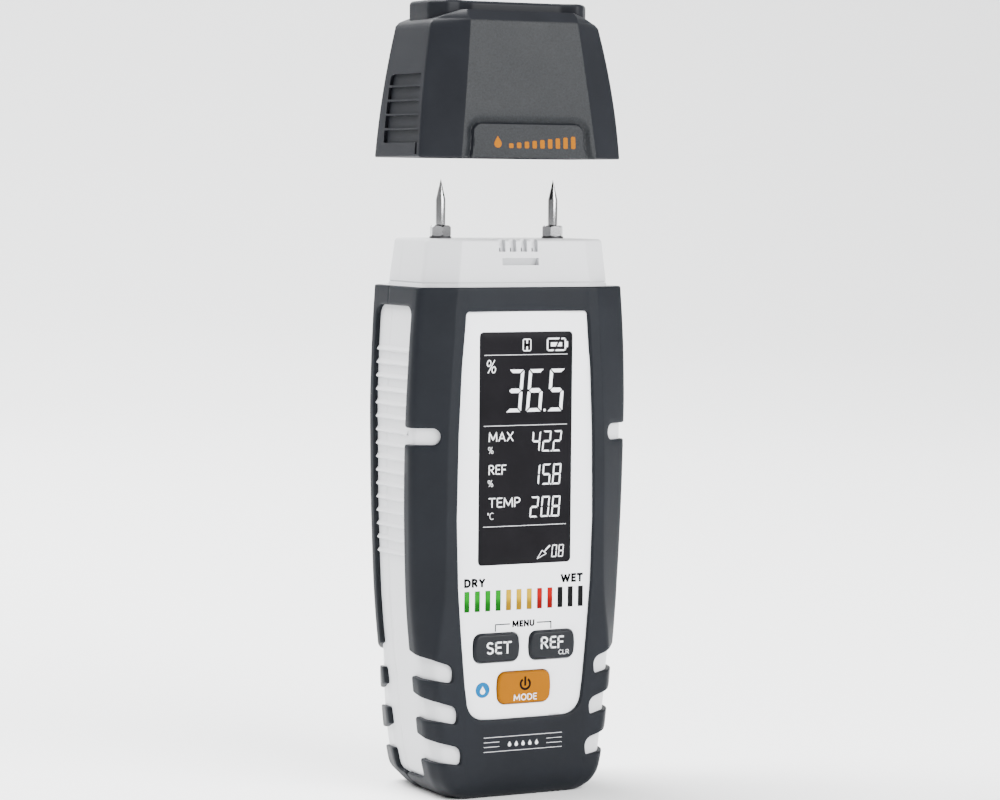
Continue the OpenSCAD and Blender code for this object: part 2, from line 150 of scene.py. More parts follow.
def rounded_loop(points, spacing=1.2, arc=7):
    """A closed loop through (x, y, radius) corners, with short straight steps and round corners."""
    spots = np.array([p[:2] for p in points], float)
    radii = [p[2] if len(p) > 2 else 0 for p in points]
    count = len(spots)
    out = []
    for i in range(count):
        here, back, on = spots[i], spots[i - 1], spots[(i + 1) % count]
        if radii[i] <= 0:
            out.append(here)
            continue
        u, v = unit(back - here), unit(on - here)
        half = math.acos(float(np.clip(u @ v, -1, 1))) / 2
        room = 0.49 * min(np.linalg.norm(back - here), np.linalg.norm(on - here))
        reach = min(radii[i] / math.tan(half), room)
        radius = reach * math.tan(half)
        centre = here + unit(u + v) * radius / math.sin(half)
        first, final = here + u * reach - centre, here + v * reach - centre
        turn = math.atan2(first[0] * final[1] - first[1] * final[0], float(first @ final))
        for t in np.linspace(0, 1, arc):
            c, s = math.cos(turn * t), math.sin(turn * t)
            out.append(centre + np.array([first[0] * c - first[1] * s, first[0] * s + first[1] * c]))
    dense = []
    for a, b in zip(out, out[1:] + out[:1]):
        steps = max(1, int(math.ceil(np.linalg.norm(b - a) / spacing)))
        dense += [a + (b - a) * k / steps for k in range(steps)]
    loop = np.array(dense)
    keep = np.linalg.norm(loop - np.roll(loop, 1, axis=0), axis=1) > 0.02
    return loop[keep]


def rectangle(x0, x1, z0, z1, radius):
    return [(x0, z0, radius), (x1, z0, radius), (x1, z1, radius), (x0, z1, radius)]


def loop_area(loop):
    x, y = loop.T
    return 0.5 * float(np.sum(x * np.roll(y, -1) - np.roll(x, -1) * y))


def offset_loop(loop, distance):
    """The loop moved to its left by a distance for each point."""
    forward = unit(np.roll(loop, -1, axis=0) - loop)
    backward = np.roll(forward, 1, axis=0)
    left = lambda d: np.stack([-d[:, 1], d[:, 0]], 1)
    across = unit(left(forward) + left(backward))
    cos = np.maximum((across * left(forward)).sum(1), 0.45)
    return loop + across * (np.asarray(distance) / cos)[:, None]


def quarter_round(start, edge, count, inset=0.0):
    """Points (height, inset) of a round edge that begins at a height and ends flat, after its first one."""
    turns = [math.pi / 2 * k / count for k in range(1, count + 1)]
    return [(start + edge * math.sin(a), inset + edge * (1 - math.cos(a))) for a in turns]


def segments_of(loops):
    a = np.concatenate(loops)
    b = np.concatenate([np.roll(loop, -1, axis=0) for loop in loops])
    return a, b


def inside(points, loops):
    a, b = segments_of(loops)
    found = np.zeros(len(points), bool)
    for start in range(0, len(points), 2000):
        p = points[start : start + 2000]
        y = p[:, 1:2]
        spans = (a[None, :, 1] > y) != (b[None, :, 1] > y)
        rise = np.where(np.abs(b[:, 1] - a[:, 1]) < 1e-12, 1e-12, b[:, 1] - a[:, 1])
        cross = a[None, :, 0] + (y - a[None, :, 1]) * ((b[:, 0] - a[:, 0]) / rise)[None]
        found[start : start + 2000] = (spans & (p[:, :1] < cross)).sum(1) % 2 == 1
    return found


def clear_of(points, loops, gap):
    a, b = segments_of(loops)
    along = b - a
    length = np.maximum((along**2).sum(1), 1e-12)
    found = np.zeros(len(points), bool)
    for start in range(0, len(points), 2000):
        p = points[start : start + 2000, None]
        t = np.clip(((p - a[None]) * along[None]).sum(2) / length[None], 0, 1)
        far = np.linalg.norm(p - a[None] - along[None] * t[..., None], axis=2)
        found[start : start + 2000] = far.min(1) > gap
    return found


# ---------------------------------------------------------------- meshes

def new_object(name, verts, faces, smooth_angle=38.0):
    mesh = bpy.data.meshes.new(name)
    mesh.from_pydata((np.asarray(verts) * MM).tolist(), [], faces)
    mesh.validate()
    bm = bmesh.new()
    bm.from_mesh(mesh)
    bmesh.ops.remove_doubles(bm, verts=bm.verts, dist=1e-7)
    bmesh.ops.dissolve_degenerate(bm, edges=bm.edges, dist=1e-7)
    bmesh.ops.recalc_face_normals(bm, faces=bm.faces)
    bm.to_mesh(mesh)
    bm.free()
    mesh.shade_smooth()
    mesh.set_sharp_from_angle(angle=math.radians(smooth_angle))
    piece = bpy.data.objects.new(name, mesh)
    bpy.context.scene.collection.objects.link(piece)
    return piece


def panel(name, place, outline, holes, thickness, rim, grid, gap=0.3, rim_steps=3):
    """A shell panel: a flat region laid on a surface, with round edges and a real thickness.

    place(u, v, depth) gives the surface, outline and holes are loops in (u, v), rim(u, v) is the edge
    radius, and grid holds the inner points."""
    loops = [outline if loop_area(outline) > 0 else outline[::-1]]
    loops += [hole if loop_area(hole) < 0 else hole[::-1] for hole in holes]
    radii = [np.asarray(rim(loop[:, 0], loop[:, 1])) * np.ones(len(loop)) for loop in loops]
    inner = [offset_loop(loop, r) for loop, r in zip(loops, radii)]
    grid = grid[inside(grid, inner)]
    grid = grid[clear_of(grid, inner, gap)]
    flat = np.concatenate([*inner, grid])
    edges, base = [], 0
    for loop in inner:
        count = len(loop)
        edges += [(base + i, base + (i + 1) % count) for i in range(count)]
        base += count
    made = delaunay_2d_cdt([Vector(p) for p in flat], edges, [], 0, 1e-7)
    spots = np.array([tuple(p) for p in made[0]])
    source = [ids[0] if ids else -1 for ids in made[3]]
    triangles = np.array([f for f in made[2] if len(f) == 3])
    triangles = triangles[inside(spots[triangles].mean(1), inner)]
    count = len(spots)
    rows = [place(spots[:, 0], spots[:, 1], np.zeros(count))]
    faces = [tuple(t) for t in triangles]
    where = {s: i for i, s in enumerate(source) if s >= 0}
    total, base = count, 0
    walls = []
    for loop, r in zip(loops, radii):
        size = len(loop)
        previous = [where[base + i] for i in range(size)]
        rings = []
        for step in range(1, rim_steps + 1):
            angle = math.pi / 2 * step / rim_steps
            ring = offset_loop(loop, r * (1 - math.sin(angle)))
            rings.append((ring, r * (1 - math.cos(angle))))
        rings.append((loop, np.full(size, float(thickness))))
        for ring, depth in rings:
            rows.append(place(ring[:, 0], ring[:, 1], depth))
            ids = list(range(total, total + size))
            total += size
            for i in range(size):
                j = (i + 1) % size
                faces.append((previous[i], ids[i], ids[j], previous[j]))
            previous = ids
        walls.append((base, previous))
        base += size
    rows.append(place(spots[:, 0], spots[:, 1], np.full(count, float(thickness))))
    faces += [tuple(total + i for i in reversed(t)) for t in triangles]
    for base, previous in walls:
        size = len(previous)
        for i in range(size):
            j = (i + 1) % size
            near, far = total + where[base + i], total + where[base + j]
            faces.append((previous[i], near, far, previous[j]))
    return new_object(name, np.concatenate(rows), faces)


def loft(name, rings, smooth_angle=38.0):
    """A closed solid through a stack of closed rings, each [point, 3], closed at both ends."""
    rings = [np.asarray(ring, float) for ring in rings]
    size = len(rings[0])
    verts = np.concatenate(rings)
    faces = []
    for level in range(len(rings) - 1):
        a, b = level * size, (level + 1) * size
        for i in range(size):
            j = (i + 1) % size
            faces.append((a + i, a + j, b + j, b + i))
    faces.append(tuple(range(size))[::-1])
    faces.append(tuple(range((len(rings) - 1) * size, len(rings) * size)))
    return new_object(name, verts, faces, smooth_angle)


def turned(name, profile, centre, axis="Z", steps=48, smooth_angle=38.0):
    """A solid of revolution. profile is (radius, height) from one end of the axis to the other."""
    profile = [(max(r, 0.004), h) for r, h in profile]
    rings = []
    for r, h in profile:
        ring = []
        for k in range(steps):
            a = 2 * math.pi * k / steps
            c, s = r * math.cos(a), r * math.sin(a)
            ring.append({"Z": (c, s, h), "Y": (c, h, s), "X": (h, c, s)}[axis])
        rings.append(np.array(ring) + np.array(centre))
    return loft(name, rings, smooth_angle)


def joined(name, *pieces):
    """One object from several, as separate solids in one mesh."""
    bm = bmesh.new()
    for piece in pieces:
        bm.from_mesh(piece.data)
        bpy.data.objects.remove(piece)
    mesh = bpy.data.meshes.new(name)
    bm.to_mesh(mesh)
    bm.free()
    whole = bpy.data.objects.new(name, mesh)
    bpy.context.scene.collection.objects.link(whole)
    return whole


def carve(piece, *cutters, operation="DIFFERENCE"):
    """Cuts the cutters out of a piece, or keeps only what it shares with them, and removes them."""
    for cutter in cutters:
        modifier = piece.modifiers.new("carve", "BOOLEAN")
        modifier.operation = operation
        modifier.solver = "EXACT"
        modifier.object = cutter
    bpy.context.view_layer.update()
    graph = bpy.context.evaluated_depsgraph_get()
    mesh = bpy.data.meshes.new_from_object(piece.evaluated_get(graph))
    piece.modifiers.clear()
    piece.data = mesh
    mesh.shade_smooth()
    mesh.set_sharp_from_angle(angle=math.radians(30))
    for cutter in cutters:
        bpy.data.objects.remove(cutter)


# ---------------------------------------------------------------- the body's form

# Heights and half widths of the silhouette from the front, with the soft corner at the base
half_width = smooth_curve([
    (0, 17.0), (0.15, 17.6), (0.6, 18.4), (1.2, 19.2), (2.2, 20.3), (3.6, 21.5), (5.5, 22.45), (10, 23.4),
    (26, 25.4), (48, 27.55), (61, 28.1), (75, 28.45), (90, 28.55), (103, 28.15), (112, 27.65), (BODY_H, 27.0),
])
# Where the flat front ends, and how far it has fallen back there
front_flat = smooth_curve([
    (0, 15.2), (2, 18.4), (5.5, 20.4), (11, 21.3), (17, 21.9), (25, 22.8), (32, 23.0), (37, 22.6),
    (43, 21.7), (50, 21.0), (61, 20.8), (75, 20.75), (83, 20.6), (95, 20.1), (109, 19.2), (114, 19.0),
    (BODY_H, 18.3),
])
front_fall = smooth_curve([(0, 0.4), (12, 0.7), (34, 0.75), (48, 0.35), (80, 0.12), (BODY_H, 0.05)])
rear_flat = smooth_curve([(0, 15.2), (5, 20.2), (26, 22.3), (60, 22.4), (90, 21.4), (BODY_H, 18.5)])
side_front = smooth_curve([
    (0, 10.2), (5, 12.0), (13, 12.4), (22, 12.2), (32, 12.0), (48, 12.0), (60, 12.2), (88, 12.7), (106, 13.1),
    (BODY_H, 13.0),
])
side_rear = smooth_curve([(0, 7.2), (5, 7.9), (15, 8.5), (35, 9.3), (60, 9.7), (90, 10.3), (BODY_H, 11.3)])
# How far the body's front and back stand from its middle plane
half_depth = smooth_curve([
    (0, 14.1), (0.15, 14.6), (0.6, 15.2), (1.2, 15.65), (2.2, 16.15), (3.6, 16.55), (5.5, BODY_D), (10, BODY_D),
])
crease_radius = smooth_curve([(0, 3.2), (30, 2.6), (60, 2.0), (100, 1.5), (BODY_H, 1.2)])

STRAIGHTS = (8, 5, 7, 13, 6, 10)
ARC = 5
# Index of the first and last point of a half section that lie on its side face
SIDE_FROM = STRAIGHTS[0] + STRAIGHTS[1] + STRAIGHTS[2] + 3 * ARC
SIDE_TO = SIDE_FROM + STRAIGHTS[3]


def body_half_section(z, inset):
    """Half sections of the body from the front's middle round the +X side to the back's middle."""
    z, inset = np.asarray(z, float), np.asarray(inset, float)
    w, d = half_width(z) - inset, half_depth(z) - inset
    flat, back = front_flat(z) - inset * 0.4, rear_flat(z) - inset * 0.4
    fall = front_fall(z)
    fore, aft = side_front(z) - inset * 0.5, side_rear(z) - inset * 0.5
    corners = np.stack([
        np.stack([0 * w, -d], -1),
        np.stack([np.minimum(15.5, 0.8 * flat), -d], -1),
        np.stack([flat, fall - d], -1),
        np.stack([w, -fore], -1),
        np.stack([w, aft], -1),
        np.stack([back, d], -1),
        np.stack([0 * w, d], -1),
    ], 1)
    r = np.maximum(crease_radius(z) - 0.5 * inset, 0.4)
    radii = np.stack([6 + 0 * r, r, 1.3 * r, 1.3 * r, r], -1)
    return rounded_paths(corners, radii, STRAIGHTS, ARC)


def lengths_along(section):
    steps = np.linalg.norm(np.diff(section, axis=1), axis=2)
    return np.concatenate([np.zeros((len(section), 1)), np.cumsum(steps, 1)], 1)


def point_at(section, index):
    low = np.clip(index.astype(int), 0, section.shape[1] - 2)
    part = (index - low)[:, None]
    rows = np.arange(len(section))
    return section[rows, low] * (1 - part) + section[rows, low + 1] * part


def index_at(lengths, s):
    rows = np.arange(len(lengths))
    low = np.clip((lengths < s[:, None]).sum(1) - 1, 0, lengths.shape[1] - 2)
    span = lengths[rows, low + 1] - lengths[rows, low]
    return low + (s - lengths[rows, low]) / np.maximum(span, 1e-9)


# How far below the base's edge a panel's flat region runs on, to be folded under the base
FOLD = 15.0


def body_surface(rear, skin_depth=0.0, shift=None):
    """place(u, v, depth) for the body: u runs round from the middle of the front or back, v is height."""

    def place(u, v, depth):
        side, s = np.where(u < 0, -1.0, 1.0), np.abs(u)
        z = np.clip(v, 0, BODY_H)
        depth = depth + skin_depth
        outer = body_half_section(z, 0 * z)
        lengths = lengths_along(outer)
        whole = lengths[:, -1]
        index = index_at(lengths, whole - s if rear else s)
        extra = shift(u, z) if shift else 0.0
        spot = point_at(body_half_section(z, depth + extra), index)
        x, y = side * spot[:, 0], spot[:, 1]
        lift = depth * np.clip(1 - z / 5.0, 0, 1)
        under = np.clip(-v / FOLD, 0, 1)
        edge = np.where(rear, whole - s_of_y(z, SEAM_Y), s_of_y(z, SEAM_Y))
        x = x * (1 - under) + side * (s / edge) * (17.0 - depth) * under
        y = y * (1 - under) + SEAM_Y * under
        return np.stack([x, y, z + lift], 1)

    return place


def outer_sections(z, backwards=False):
    """The outer half sections at some heights, and the lengths along them, from the front or the back."""
    z = np.atleast_1d(np.asarray(z, float))
    section = body_half_section(z, 0 * z)
    section = section[:, ::-1] if backwards else section
    return section, lengths_along(section)


def s_where(sections, part, axis, value):
    """Distance along each section to where the given part of it reaches a value of x (0) or y (1)."""
    section, lengths = sections
    return np.array([np.interp(value, row[part, axis], s[part]) for row, s in zip(section, lengths)])


def s_of_x(z, x):
    """Distance round the section from the front's middle to where its front or bevel reaches x."""
    return s_where(outer_sections(z), slice(0, SIDE_FROM), 0, x)


def s_of_y(z, y):
    """Distance round the section from the front's middle to where the side face reaches y."""
    return s_where(outer_sections(z), slice(SIDE_FROM - 2, SIDE_TO + 3), 1, y)


def s_from_back(z, x):
    """Distance round the section from the back's middle to where its back or bevel reaches x."""
    sections = outer_sections(z, True)
    return s_where(sections, slice(0, sections[0].shape[1] - SIDE_TO), 0, x)


def whole_half(z):
    """Length of a whole half section, from the front's middle to the back's."""
    return outer_sections(z)[1][:, -1]


def corner(kind, value, z, radius=0.0, rear=False):
    """A corner of a skin outline: at a height z and at an x on the front or a y on the side."""
    if kind == "x":
        s = (s_from_back if rear else s_of_x)(z, value)[0]
    else:
        s = s_of_y(z, value)[0]
        s = whole_half(z)[0] - s if rear else s
    return (s, z, radius)


def seam_run(z0, z1, rear, step=3.0):
    count = max(2, int(abs(z1 - z0) / step) + 1)
    return [corner("y", SEAM_Y, z, 0, rear) for z in np.linspace(z0, z1, count)]


# The side window: heights of its ends, and the y of its front and rear edges by height
STRIP_BOTTOM, STRIP_TOP = 4.3, 115.9
strip_front = smooth_curve([(4, -8.1), (30, -8.1), (66, -8.5), (84, -9.2), (97, -9.9), (116, -10.2)])
strip_rear = smooth_curve([(4, 6.1), (10, 6.6), (30, 7.3), (60, 7.5), (85, 7.7), (106, 8.4), (116, 8.6)])
# Slanted slots: the x and height of each tip's widest point, and the heights where it leaves the strip
SLOTS = ((18.6, 30.0, 29.2, 35.1), (17.4, 20.2, 19.5, 25.2), (16.3, 10.6, 9.6, 15.4))
REAR_SLOT_SHIFT = 1.6
MID_SLOT = (22.3, 85.8, 1.95)


def slot_corners(slot, rear, edge):
    tip, z, low, high = slot
    tip += REAR_SLOT_SHIFT if rear else 0
    return [
        corner("y", edge(low), low, 0.7, rear),
        corner("x", tip + 3.9, low - 0.6, 0, rear),
        corner("x", tip + 0.35, z - 2.1, 0.9, rear),
        corner("x", tip, z + 1.9, 2.3, rear),
        corner("x", tip + 4.9, high - 1.6, 4.0, rear),
        corner("y", edge(high), high, 0.7, rear),
    ]


def skin_outline(rear):
    """The skin's edge in (s, z): seam, side window with its slots, and the shoulder."""
    edge = strip_rear if rear else strip_front
    right = seam_run(0, STRIP_BOTTOM, rear, 1.5)
    right[-1] = (*right[-1][:2], 0.5)
    right.append(corner("y", edge(STRIP_BOTTOM), STRIP_BOTTOM, 1.6, rear))
    for slot in reversed(SLOTS):
        right += slot_corners(slot, rear, edge)
    levels = [45, 55, 66, 76] if not rear else [45, 55, 66, 76, 86, 96, 106]
    right += [corner("y", edge(z), z, 0, rear) for z in levels]
    if not rear:
        x, z, r = MID_SLOT
        right += [
            corner("y", edge(z - r), z - r, 0.7),
            corner("x", x, z - r, r * 0.98),
            corner("x", x, z + r, r * 0.98),
            corner("y", edge(z + r), z + r, 0.7),
        ]
        right += [corner("y", edge(z), z) for z in (94, 102, 109)]
    right.append(corner("y", edge(STRIP_TOP), STRIP_TOP, 2.3, rear))
    right.append((*corner("y", SEAM_Y, STRIP_TOP, 0, rear)[:2], 0.4))
    right += seam_run(STRIP_TOP + 0.8, BODY_H, rear)
    start = right[0][0]
    under = [(0.97 * start, -FOLD), (start, -0.4)]
    path = under + right
    mirrored = [(-p[0], *p[1:]) for p in reversed(path)]
    return rounded_loop(path + mirrored)


def shell_outline(rear):
    right = seam_run(0, BODY_H, rear)
    start = right[0][0]
    path = [(0.97 * start, -FOLD), (start, -0.4)] + right
    return rounded_loop(path + [(-p[0], *p[1:]) for p in reversed(path)], 1.5)


BASE_ROWS = [0.05, 0.15, 0.35, 0.6, 0.9, 1.3, 1.8, 2.4, 3.0, 3.7, 4.5, 5.5, 6.6, 8.0, 9.5]


def body_grid(rear):
    """Points at the section's own stations, so that rows of faces follow the bevels' edges."""
    rows = np.array([*BASE_ROWS, *np.arange(11, BODY_H - 0.3, 1.45)])
    lengths = lengths_along(body_half_section(rows, 0 * rows))
    s = lengths[:, -1:] - lengths if rear else lengths
    z = np.repeat(rows[:, None], s.shape[1], 1)
    half = np.stack([s.ravel(), z.ravel()], 1)
    fold_rows = np.linspace(-0.5, -FOLD + 1, 8)
    fold = np.array([(value, row) for row in fold_rows for value in s[0]])
    half = np.concatenate([half, fold])
    half = half[half[:, 0] >= -1e-6]
    mirrored = half[half[:, 0] > 1e-6] * (-1, 1)
    return np.concatenate([half, mirrored])


# ---------------------------------------------------------------- front face features

LABEL_TOP = 114.8
LABEL_HALF = ((14.3, LABEL_TOP, 0), (16.1, LABEL_TOP, 1.7), (17.1, 102), (17.8, 86), (18.1, 66), (17.6, 50),
              (16.6, 37), (15.7, 27), (14.6, 18.9, 6.4), (6, 18.7))
WINDOW_X = (WINDOW_LOW[0], WINDOW_HIGH[0])
WINDOW_Z = (WINDOW_LOW[2], WINDOW_HIGH[2])
BAR_COLOURS = ("green", "yellow", "red", "dark")
BAR_NODES = [f"{colour}_light_bars" for colour in BAR_COLOURS]
BAR_COUNTS = (4, 3, 2, 3)


def label_loop(margin=0.0):
    right = [(x + margin, z + (margin if z > 60 else -margin if z < 20 else 0), *r) for x, z, *r in LABEL_HALF]
    left = [(-p[0], *p[1:]) for p in reversed(right)]
    return rounded_loop(right + left, 1.5, 9)


def bar_centres():
    low, high = cad_box(BAR_NODES[0])[0], cad_box(BAR_NODES[-1])[1]
    width = 1.35
    first, last = low[0] + width / 2, high[0] - width / 2
    return np.linspace(first, last, sum(BAR_COUNTS)), (low[2], high[2]), width


BAR_X, BAR_Z, BAR_W = bar_centres()


def key_box(node):
    """The part of a key that shows: its CAD box is the flange behind the label, so it is drawn in."""
    low, high = cad_box(node)
    side = 0.7
    top = 0.3 if node == "mode_button" else 0.6
    return low[0] + side, high[0] - side, low[2] + top, high[2] - top


def key_loop(node, margin):
    x0, x1, z0, z1 = key_box(node)
    x0, x1, z0, z1 = x0 - margin, x1 + margin, z0 - margin, z1 + margin
    middle, bow = (z0 + z1) / 2, 0.35
    corner_r = 1.9 + margin
    return rounded_loop([
        (x0 + bow, z0, corner_r), (x1 - bow, z0, corner_r), (x1, middle, 9), (x1 - bow, z1, corner_r),
        (x0 + bow, z1, corner_r), (x0, middle, 9),
    ], 1.0, 8)


def face_holes(margin):
    holes = [rounded_loop(rectangle(WINDOW_X[0] - margin, WINDOW_X[1] + margin, WINDOW_Z[0] - margin,
                                    WINDOW_Z[1] + margin, 1.0 + margin), 2.0, 7)]
    holes += [rounded_loop(rectangle(x - BAR_W / 2 - margin, x + BAR_W / 2 + margin, BAR_Z[0] - margin,
                                     BAR_Z[1] + margin, 0.12), 1.5, 3) for x in BAR_X]
    holes += [key_loop(node, 0.2 + margin) for node in ("set_button", "ref_button", "mode_button")]
    return holes


def grid_points(x0, x1, z0, z1, step):
    xs = np.linspace(x0, x1, max(2, int((x1 - x0) / step)))
    zs = np.linspace(z0, z1, max(2, int((z1 - z0) / step)))
    return np.array([(x, z) for z in zs for x in xs])


# ---------------------------------------------------------------- materials

def material(name, color, rough, grain=0.0, grain_scale=900, speck=0.05, metal=0.0, coat=0.0, specular=0.5,
             bump_strength=0.35, cloud_scale=90, speckled=False, stretch=None):
    """Moulded or metal surface: two close colours mixed by noise, uneven roughness and a fine grain."""
    mat = bpy.data.materials.new(name)
    mat.use_nodes = True
    nodes, links = mat.node_tree.nodes, mat.node_tree.links
    shader = nodes["Principled BSDF"]
    place = nodes.new("ShaderNodeTexCoord")
    cloud = nodes.new("ShaderNodeTexNoise")
    cloud.inputs["Scale"].default_value = cloud_scale
    cloud.inputs["Detail"].default_value = 6
    fine = nodes.new("ShaderNodeTexNoise")
    fine.inputs["Scale"].default_value = grain_scale
    fine.inputs["Detail"].default_value = 3
    source = place.outputs["Object"]
    if stretch:
        mapping = nodes.new("ShaderNodeMapping")
        mapping.inputs["Scale"].default_value = stretch
        links.new(source, mapping.inputs["Vector"])
        source = mapping.outputs["Vector"]
    links.new(source, cloud.inputs["Vector"])
    links.new(source, fine.inputs["Vector"])
    ramp = nodes.new("ShaderNodeValToRGB")
    ramp.color_ramp.elements[0].position = 0.32
    ramp.color_ramp.elements[1].position = 0.68
    ramp.color_ramp.elements[0].color = (*(c * (1 - speck) for c in color), 1)
    ramp.color_ramp.elements[1].color = (*(min(1, c * (1 + speck)) for c in color), 1)
    links.new(fine.outputs["Fac"] if speckled else cloud.outputs["Fac"], ramp.inputs["Fac"])
    links.new(ramp.outputs["Color"], shader.inputs["Base Color"])
    span = nodes.new("ShaderNodeMapRange")
    span.inputs["To Min"].default_value = max(0.02, rough * 0.88)
    span.inputs["To Max"].default_value = min(1.0, rough * 1.12)
    links.new(cloud.outputs["Fac"], span.inputs["Value"])
    links.new(span.outputs["Result"], shader.inputs["Roughness"])
    if grain:
        bump = nodes.new("ShaderNodeBump")
        bump.inputs["Strength"].default_value = bump_strength
        bump.inputs["Distance"].default_value = grain * MM
        links.new(fine.outputs["Fac"], bump.inputs["Height"])
        links.new(bump.outputs["Normal"], shader.inputs["Normal"])
    shader.inputs["Metallic"].default_value = metal
    shader.inputs["Coat Weight"].default_value = coat
    shader.inputs["Specular IOR Level"].default_value = specular
    return mat


WHITE = material("white_abs", (0.56, 0.566, 0.582), 0.38, grain=0.02, speck=0.012, specular=0.35)
SKIN = material("soft_skin", (0.0062, 0.0074, 0.0100), 0.50, grain=0.03, grain_scale=1500, speck=0.10,
                specular=0.12)
LABEL = material("label_film", (0.84, 0.85, 0.88), 0.45, grain=0.006, grain_scale=2500, speck=0.01, specular=0.3)
WINDOW = material("window_black", (0.0050, 0.0047, 0.0058), 0.30, speck=0.2, specular=0.05)
PRINT_WHITE = material("print_white", (0.85, 0.86, 0.88), 0.5, grain=0.004, speck=0.02)
PRINT_BLACK = material("print_black", (0.0025, 0.0025, 0.003), 0.6, grain=0.004, speck=0.15, specular=0.04)
PRINT_ORANGE = material("print_orange", (0.26, 0.086, 0.0), 0.5, grain=0.004, speck=0.04, specular=0.05)
PRINT_BLUE = material("print_blue", (0.0, 0.105, 0.27), 0.5, grain=0.004, speck=0.05, specular=0.05)
KEY_DARK = material("key_dark", (0.0060, 0.0070, 0.0092), 0.42, grain=0.015, grain_scale=1600, speck=0.08,
                    specular=0.16)
KEY_ORANGE = material("key_orange", (0.25, 0.086, 0.0), 0.45, grain=0.015, grain_scale=1600, speck=0.04,
                      specular=0.04)
CAP = material("cap_grain", (0.0068, 0.0080, 0.0096), 0.48, grain=0.14, grain_scale=2400, speck=0.35,
               speckled=True, bump_strength=0.7, specular=0.2)
CAP_SIDE = material("cap_smooth", (0.0068, 0.0077, 0.0103), 0.50, grain=0.02, grain_scale=1500, speck=0.10,
                    specular=0.14)
LCD = material("lcd_glass", (0.05, 0.06, 0.055), 0.15, speck=0.1, coat=0.3)
GREY = material("grey_plastic", (0.25, 0.25, 0.26), 0.5, grain=0.02, speck=0.05)
MILKY = material("milky_plastic", (0.75, 0.75, 0.70), 0.4, grain=0.01, speck=0.03)
RUBBER = material("connector_rubber", (0.55, 0.25, 0.28), 0.6, grain=0.02, speck=0.1)
BOARD = material("circuit_board", (0.01, 0.12, 0.03), 0.4, grain=0.01, speck=0.15, coat=0.3)
BRASS = material("brass", (0.72, 0.50, 0.20), 0.25, grain=0.01, speck=0.05, metal=1.0)
ZINC = material("zinc_steel", (0.50, 0.51, 0.53), 0.32, grain=0.01, speck=0.08, metal=1.0)
CELL = material("cell_wrap", (0.02, 0.05, 0.16), 0.3, speck=0.1, coat=0.3)
STEEL = material("ground_steel", (0.46, 0.46, 0.47), 0.20, grain=0.01, grain_scale=600, speck=0.06,
                 metal=1.0, stretch=(1, 1, 0.08))
NICKEL = material("nickel", (0.40, 0.40, 0.41), 0.24, grain=0.012, grain_scale=700, speck=0.06, metal=1.0)
BLACK = material("black_plastic", (0.02, 0.02, 0.022), 0.45, grain=0.02, speck=0.15)


def painted_light_bar_material(name, top, bottom):
    """A bar with painted light: brighter at its top than at its foot, faintly cloudy, with a soft sheen."""
    mat = material(name, top, 0.35, speck=0.06, specular=0.06)
    nodes, links = mat.node_tree.nodes, mat.node_tree.links
    shader = nodes["Principled BSDF"]
    cloudy = shader.inputs["Base Color"].links[0].from_socket
    place = next(node for node in nodes if node.type == "TEX_COORD")
    split = nodes.new("ShaderNodeSeparateXYZ")
    links.new(place.outputs["Object"], split.inputs["Vector"])
    span = nodes.new("ShaderNodeMapRange")
    span.inputs["From Min"].default_value = (BAR_Z[0] + 1.6) * MM
    span.inputs["From Max"].default_value = (BAR_Z[1] - 1.8) * MM
    links.new(split.outputs["Z"], span.inputs["Value"])
    # Painted light: the base colour fades from the top colour down to the darker foot colour by height
    mix = nodes.new("ShaderNodeMix")
    mix.data_type = "RGBA"
    mix.inputs["A"].default_value = (*bottom, 1)
    links.new(span.outputs["Result"], mix.inputs["Factor"])
    links.new(cloudy, mix.inputs["B"])
    links.new(mix.outputs["Result"], shader.inputs["Base Color"])
    return mat


# Bar colours as (top, foot): the brighter top and darker foot are painted light
GREEN = painted_light_bar_material("light_green", (0.0, 0.18, 0.006), (0.0, 0.07, 0.001))
YELLOW = painted_light_bar_material("light_yellow", (0.40, 0.25, 0.0), (0.20, 0.11, 0.0))
RED = painted_light_bar_material("light_red", (0.27, 0.0, 0.0), (0.14, 0.0, 0.0))
DARK = painted_light_bar_material("light_dark", (0.0022, 0.0022, 0.0026), (0.0018, 0.0018, 0.0022))


def dress(piece, mat, body, slot, *nodes):
    """Gives a piece its material and the body it moves with, and hides the CAD nodes it stands for; its slot
    argument is not used.
    """
    piece.data.materials.clear()
    piece.data.materials.append(mat)
    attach(piece, body)
    if nodes:
        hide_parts(*nodes)
    return piece


# ---------------------------------------------------------------- skins and shells

def skin_rim(u, v, rear=False):
    seam = s_of_y(np.clip(v, 0, BODY_H), SEAM_Y)
    if rear:
        seam = whole_half(np.clip(v, 0, BODY_H)) - seam
    near_seam = (np.abs(np.abs(u) - seam) < 0.25) | (v < 0.1)
    return np.where(near_seam, 0.12, 0.38)


def skin_shift(u, z):
    """Front of the skin: a lens-shaped slope down to the label's top edge, and two shallow valleys."""
    x = np.abs(u)
    arch = LABEL_TOP + 1.5 * np.clip(1 - (x / 13.5) ** 2, 0, 1)
    slope = np.clip((arch - z) / 1.5, 0, 1) * (z > LABEL_TOP - 1.0) * (x < 13.5) * 0.55
    valley = 0.16 * np.clip(1 - np.abs(x - 16.4) / 1.1, 0, 1) * np.clip((z - 112.5) / 2, 0, 1)
    low_print = PRINT_T * (x < 11.2) * (np.abs(z - 12.9) < 2.6)
    return slope + valley + low_print


SCREW_HEAD_R, SCREW_HOLE_R, LOW_SCREW_X = 2.1, 2.6, 12.0


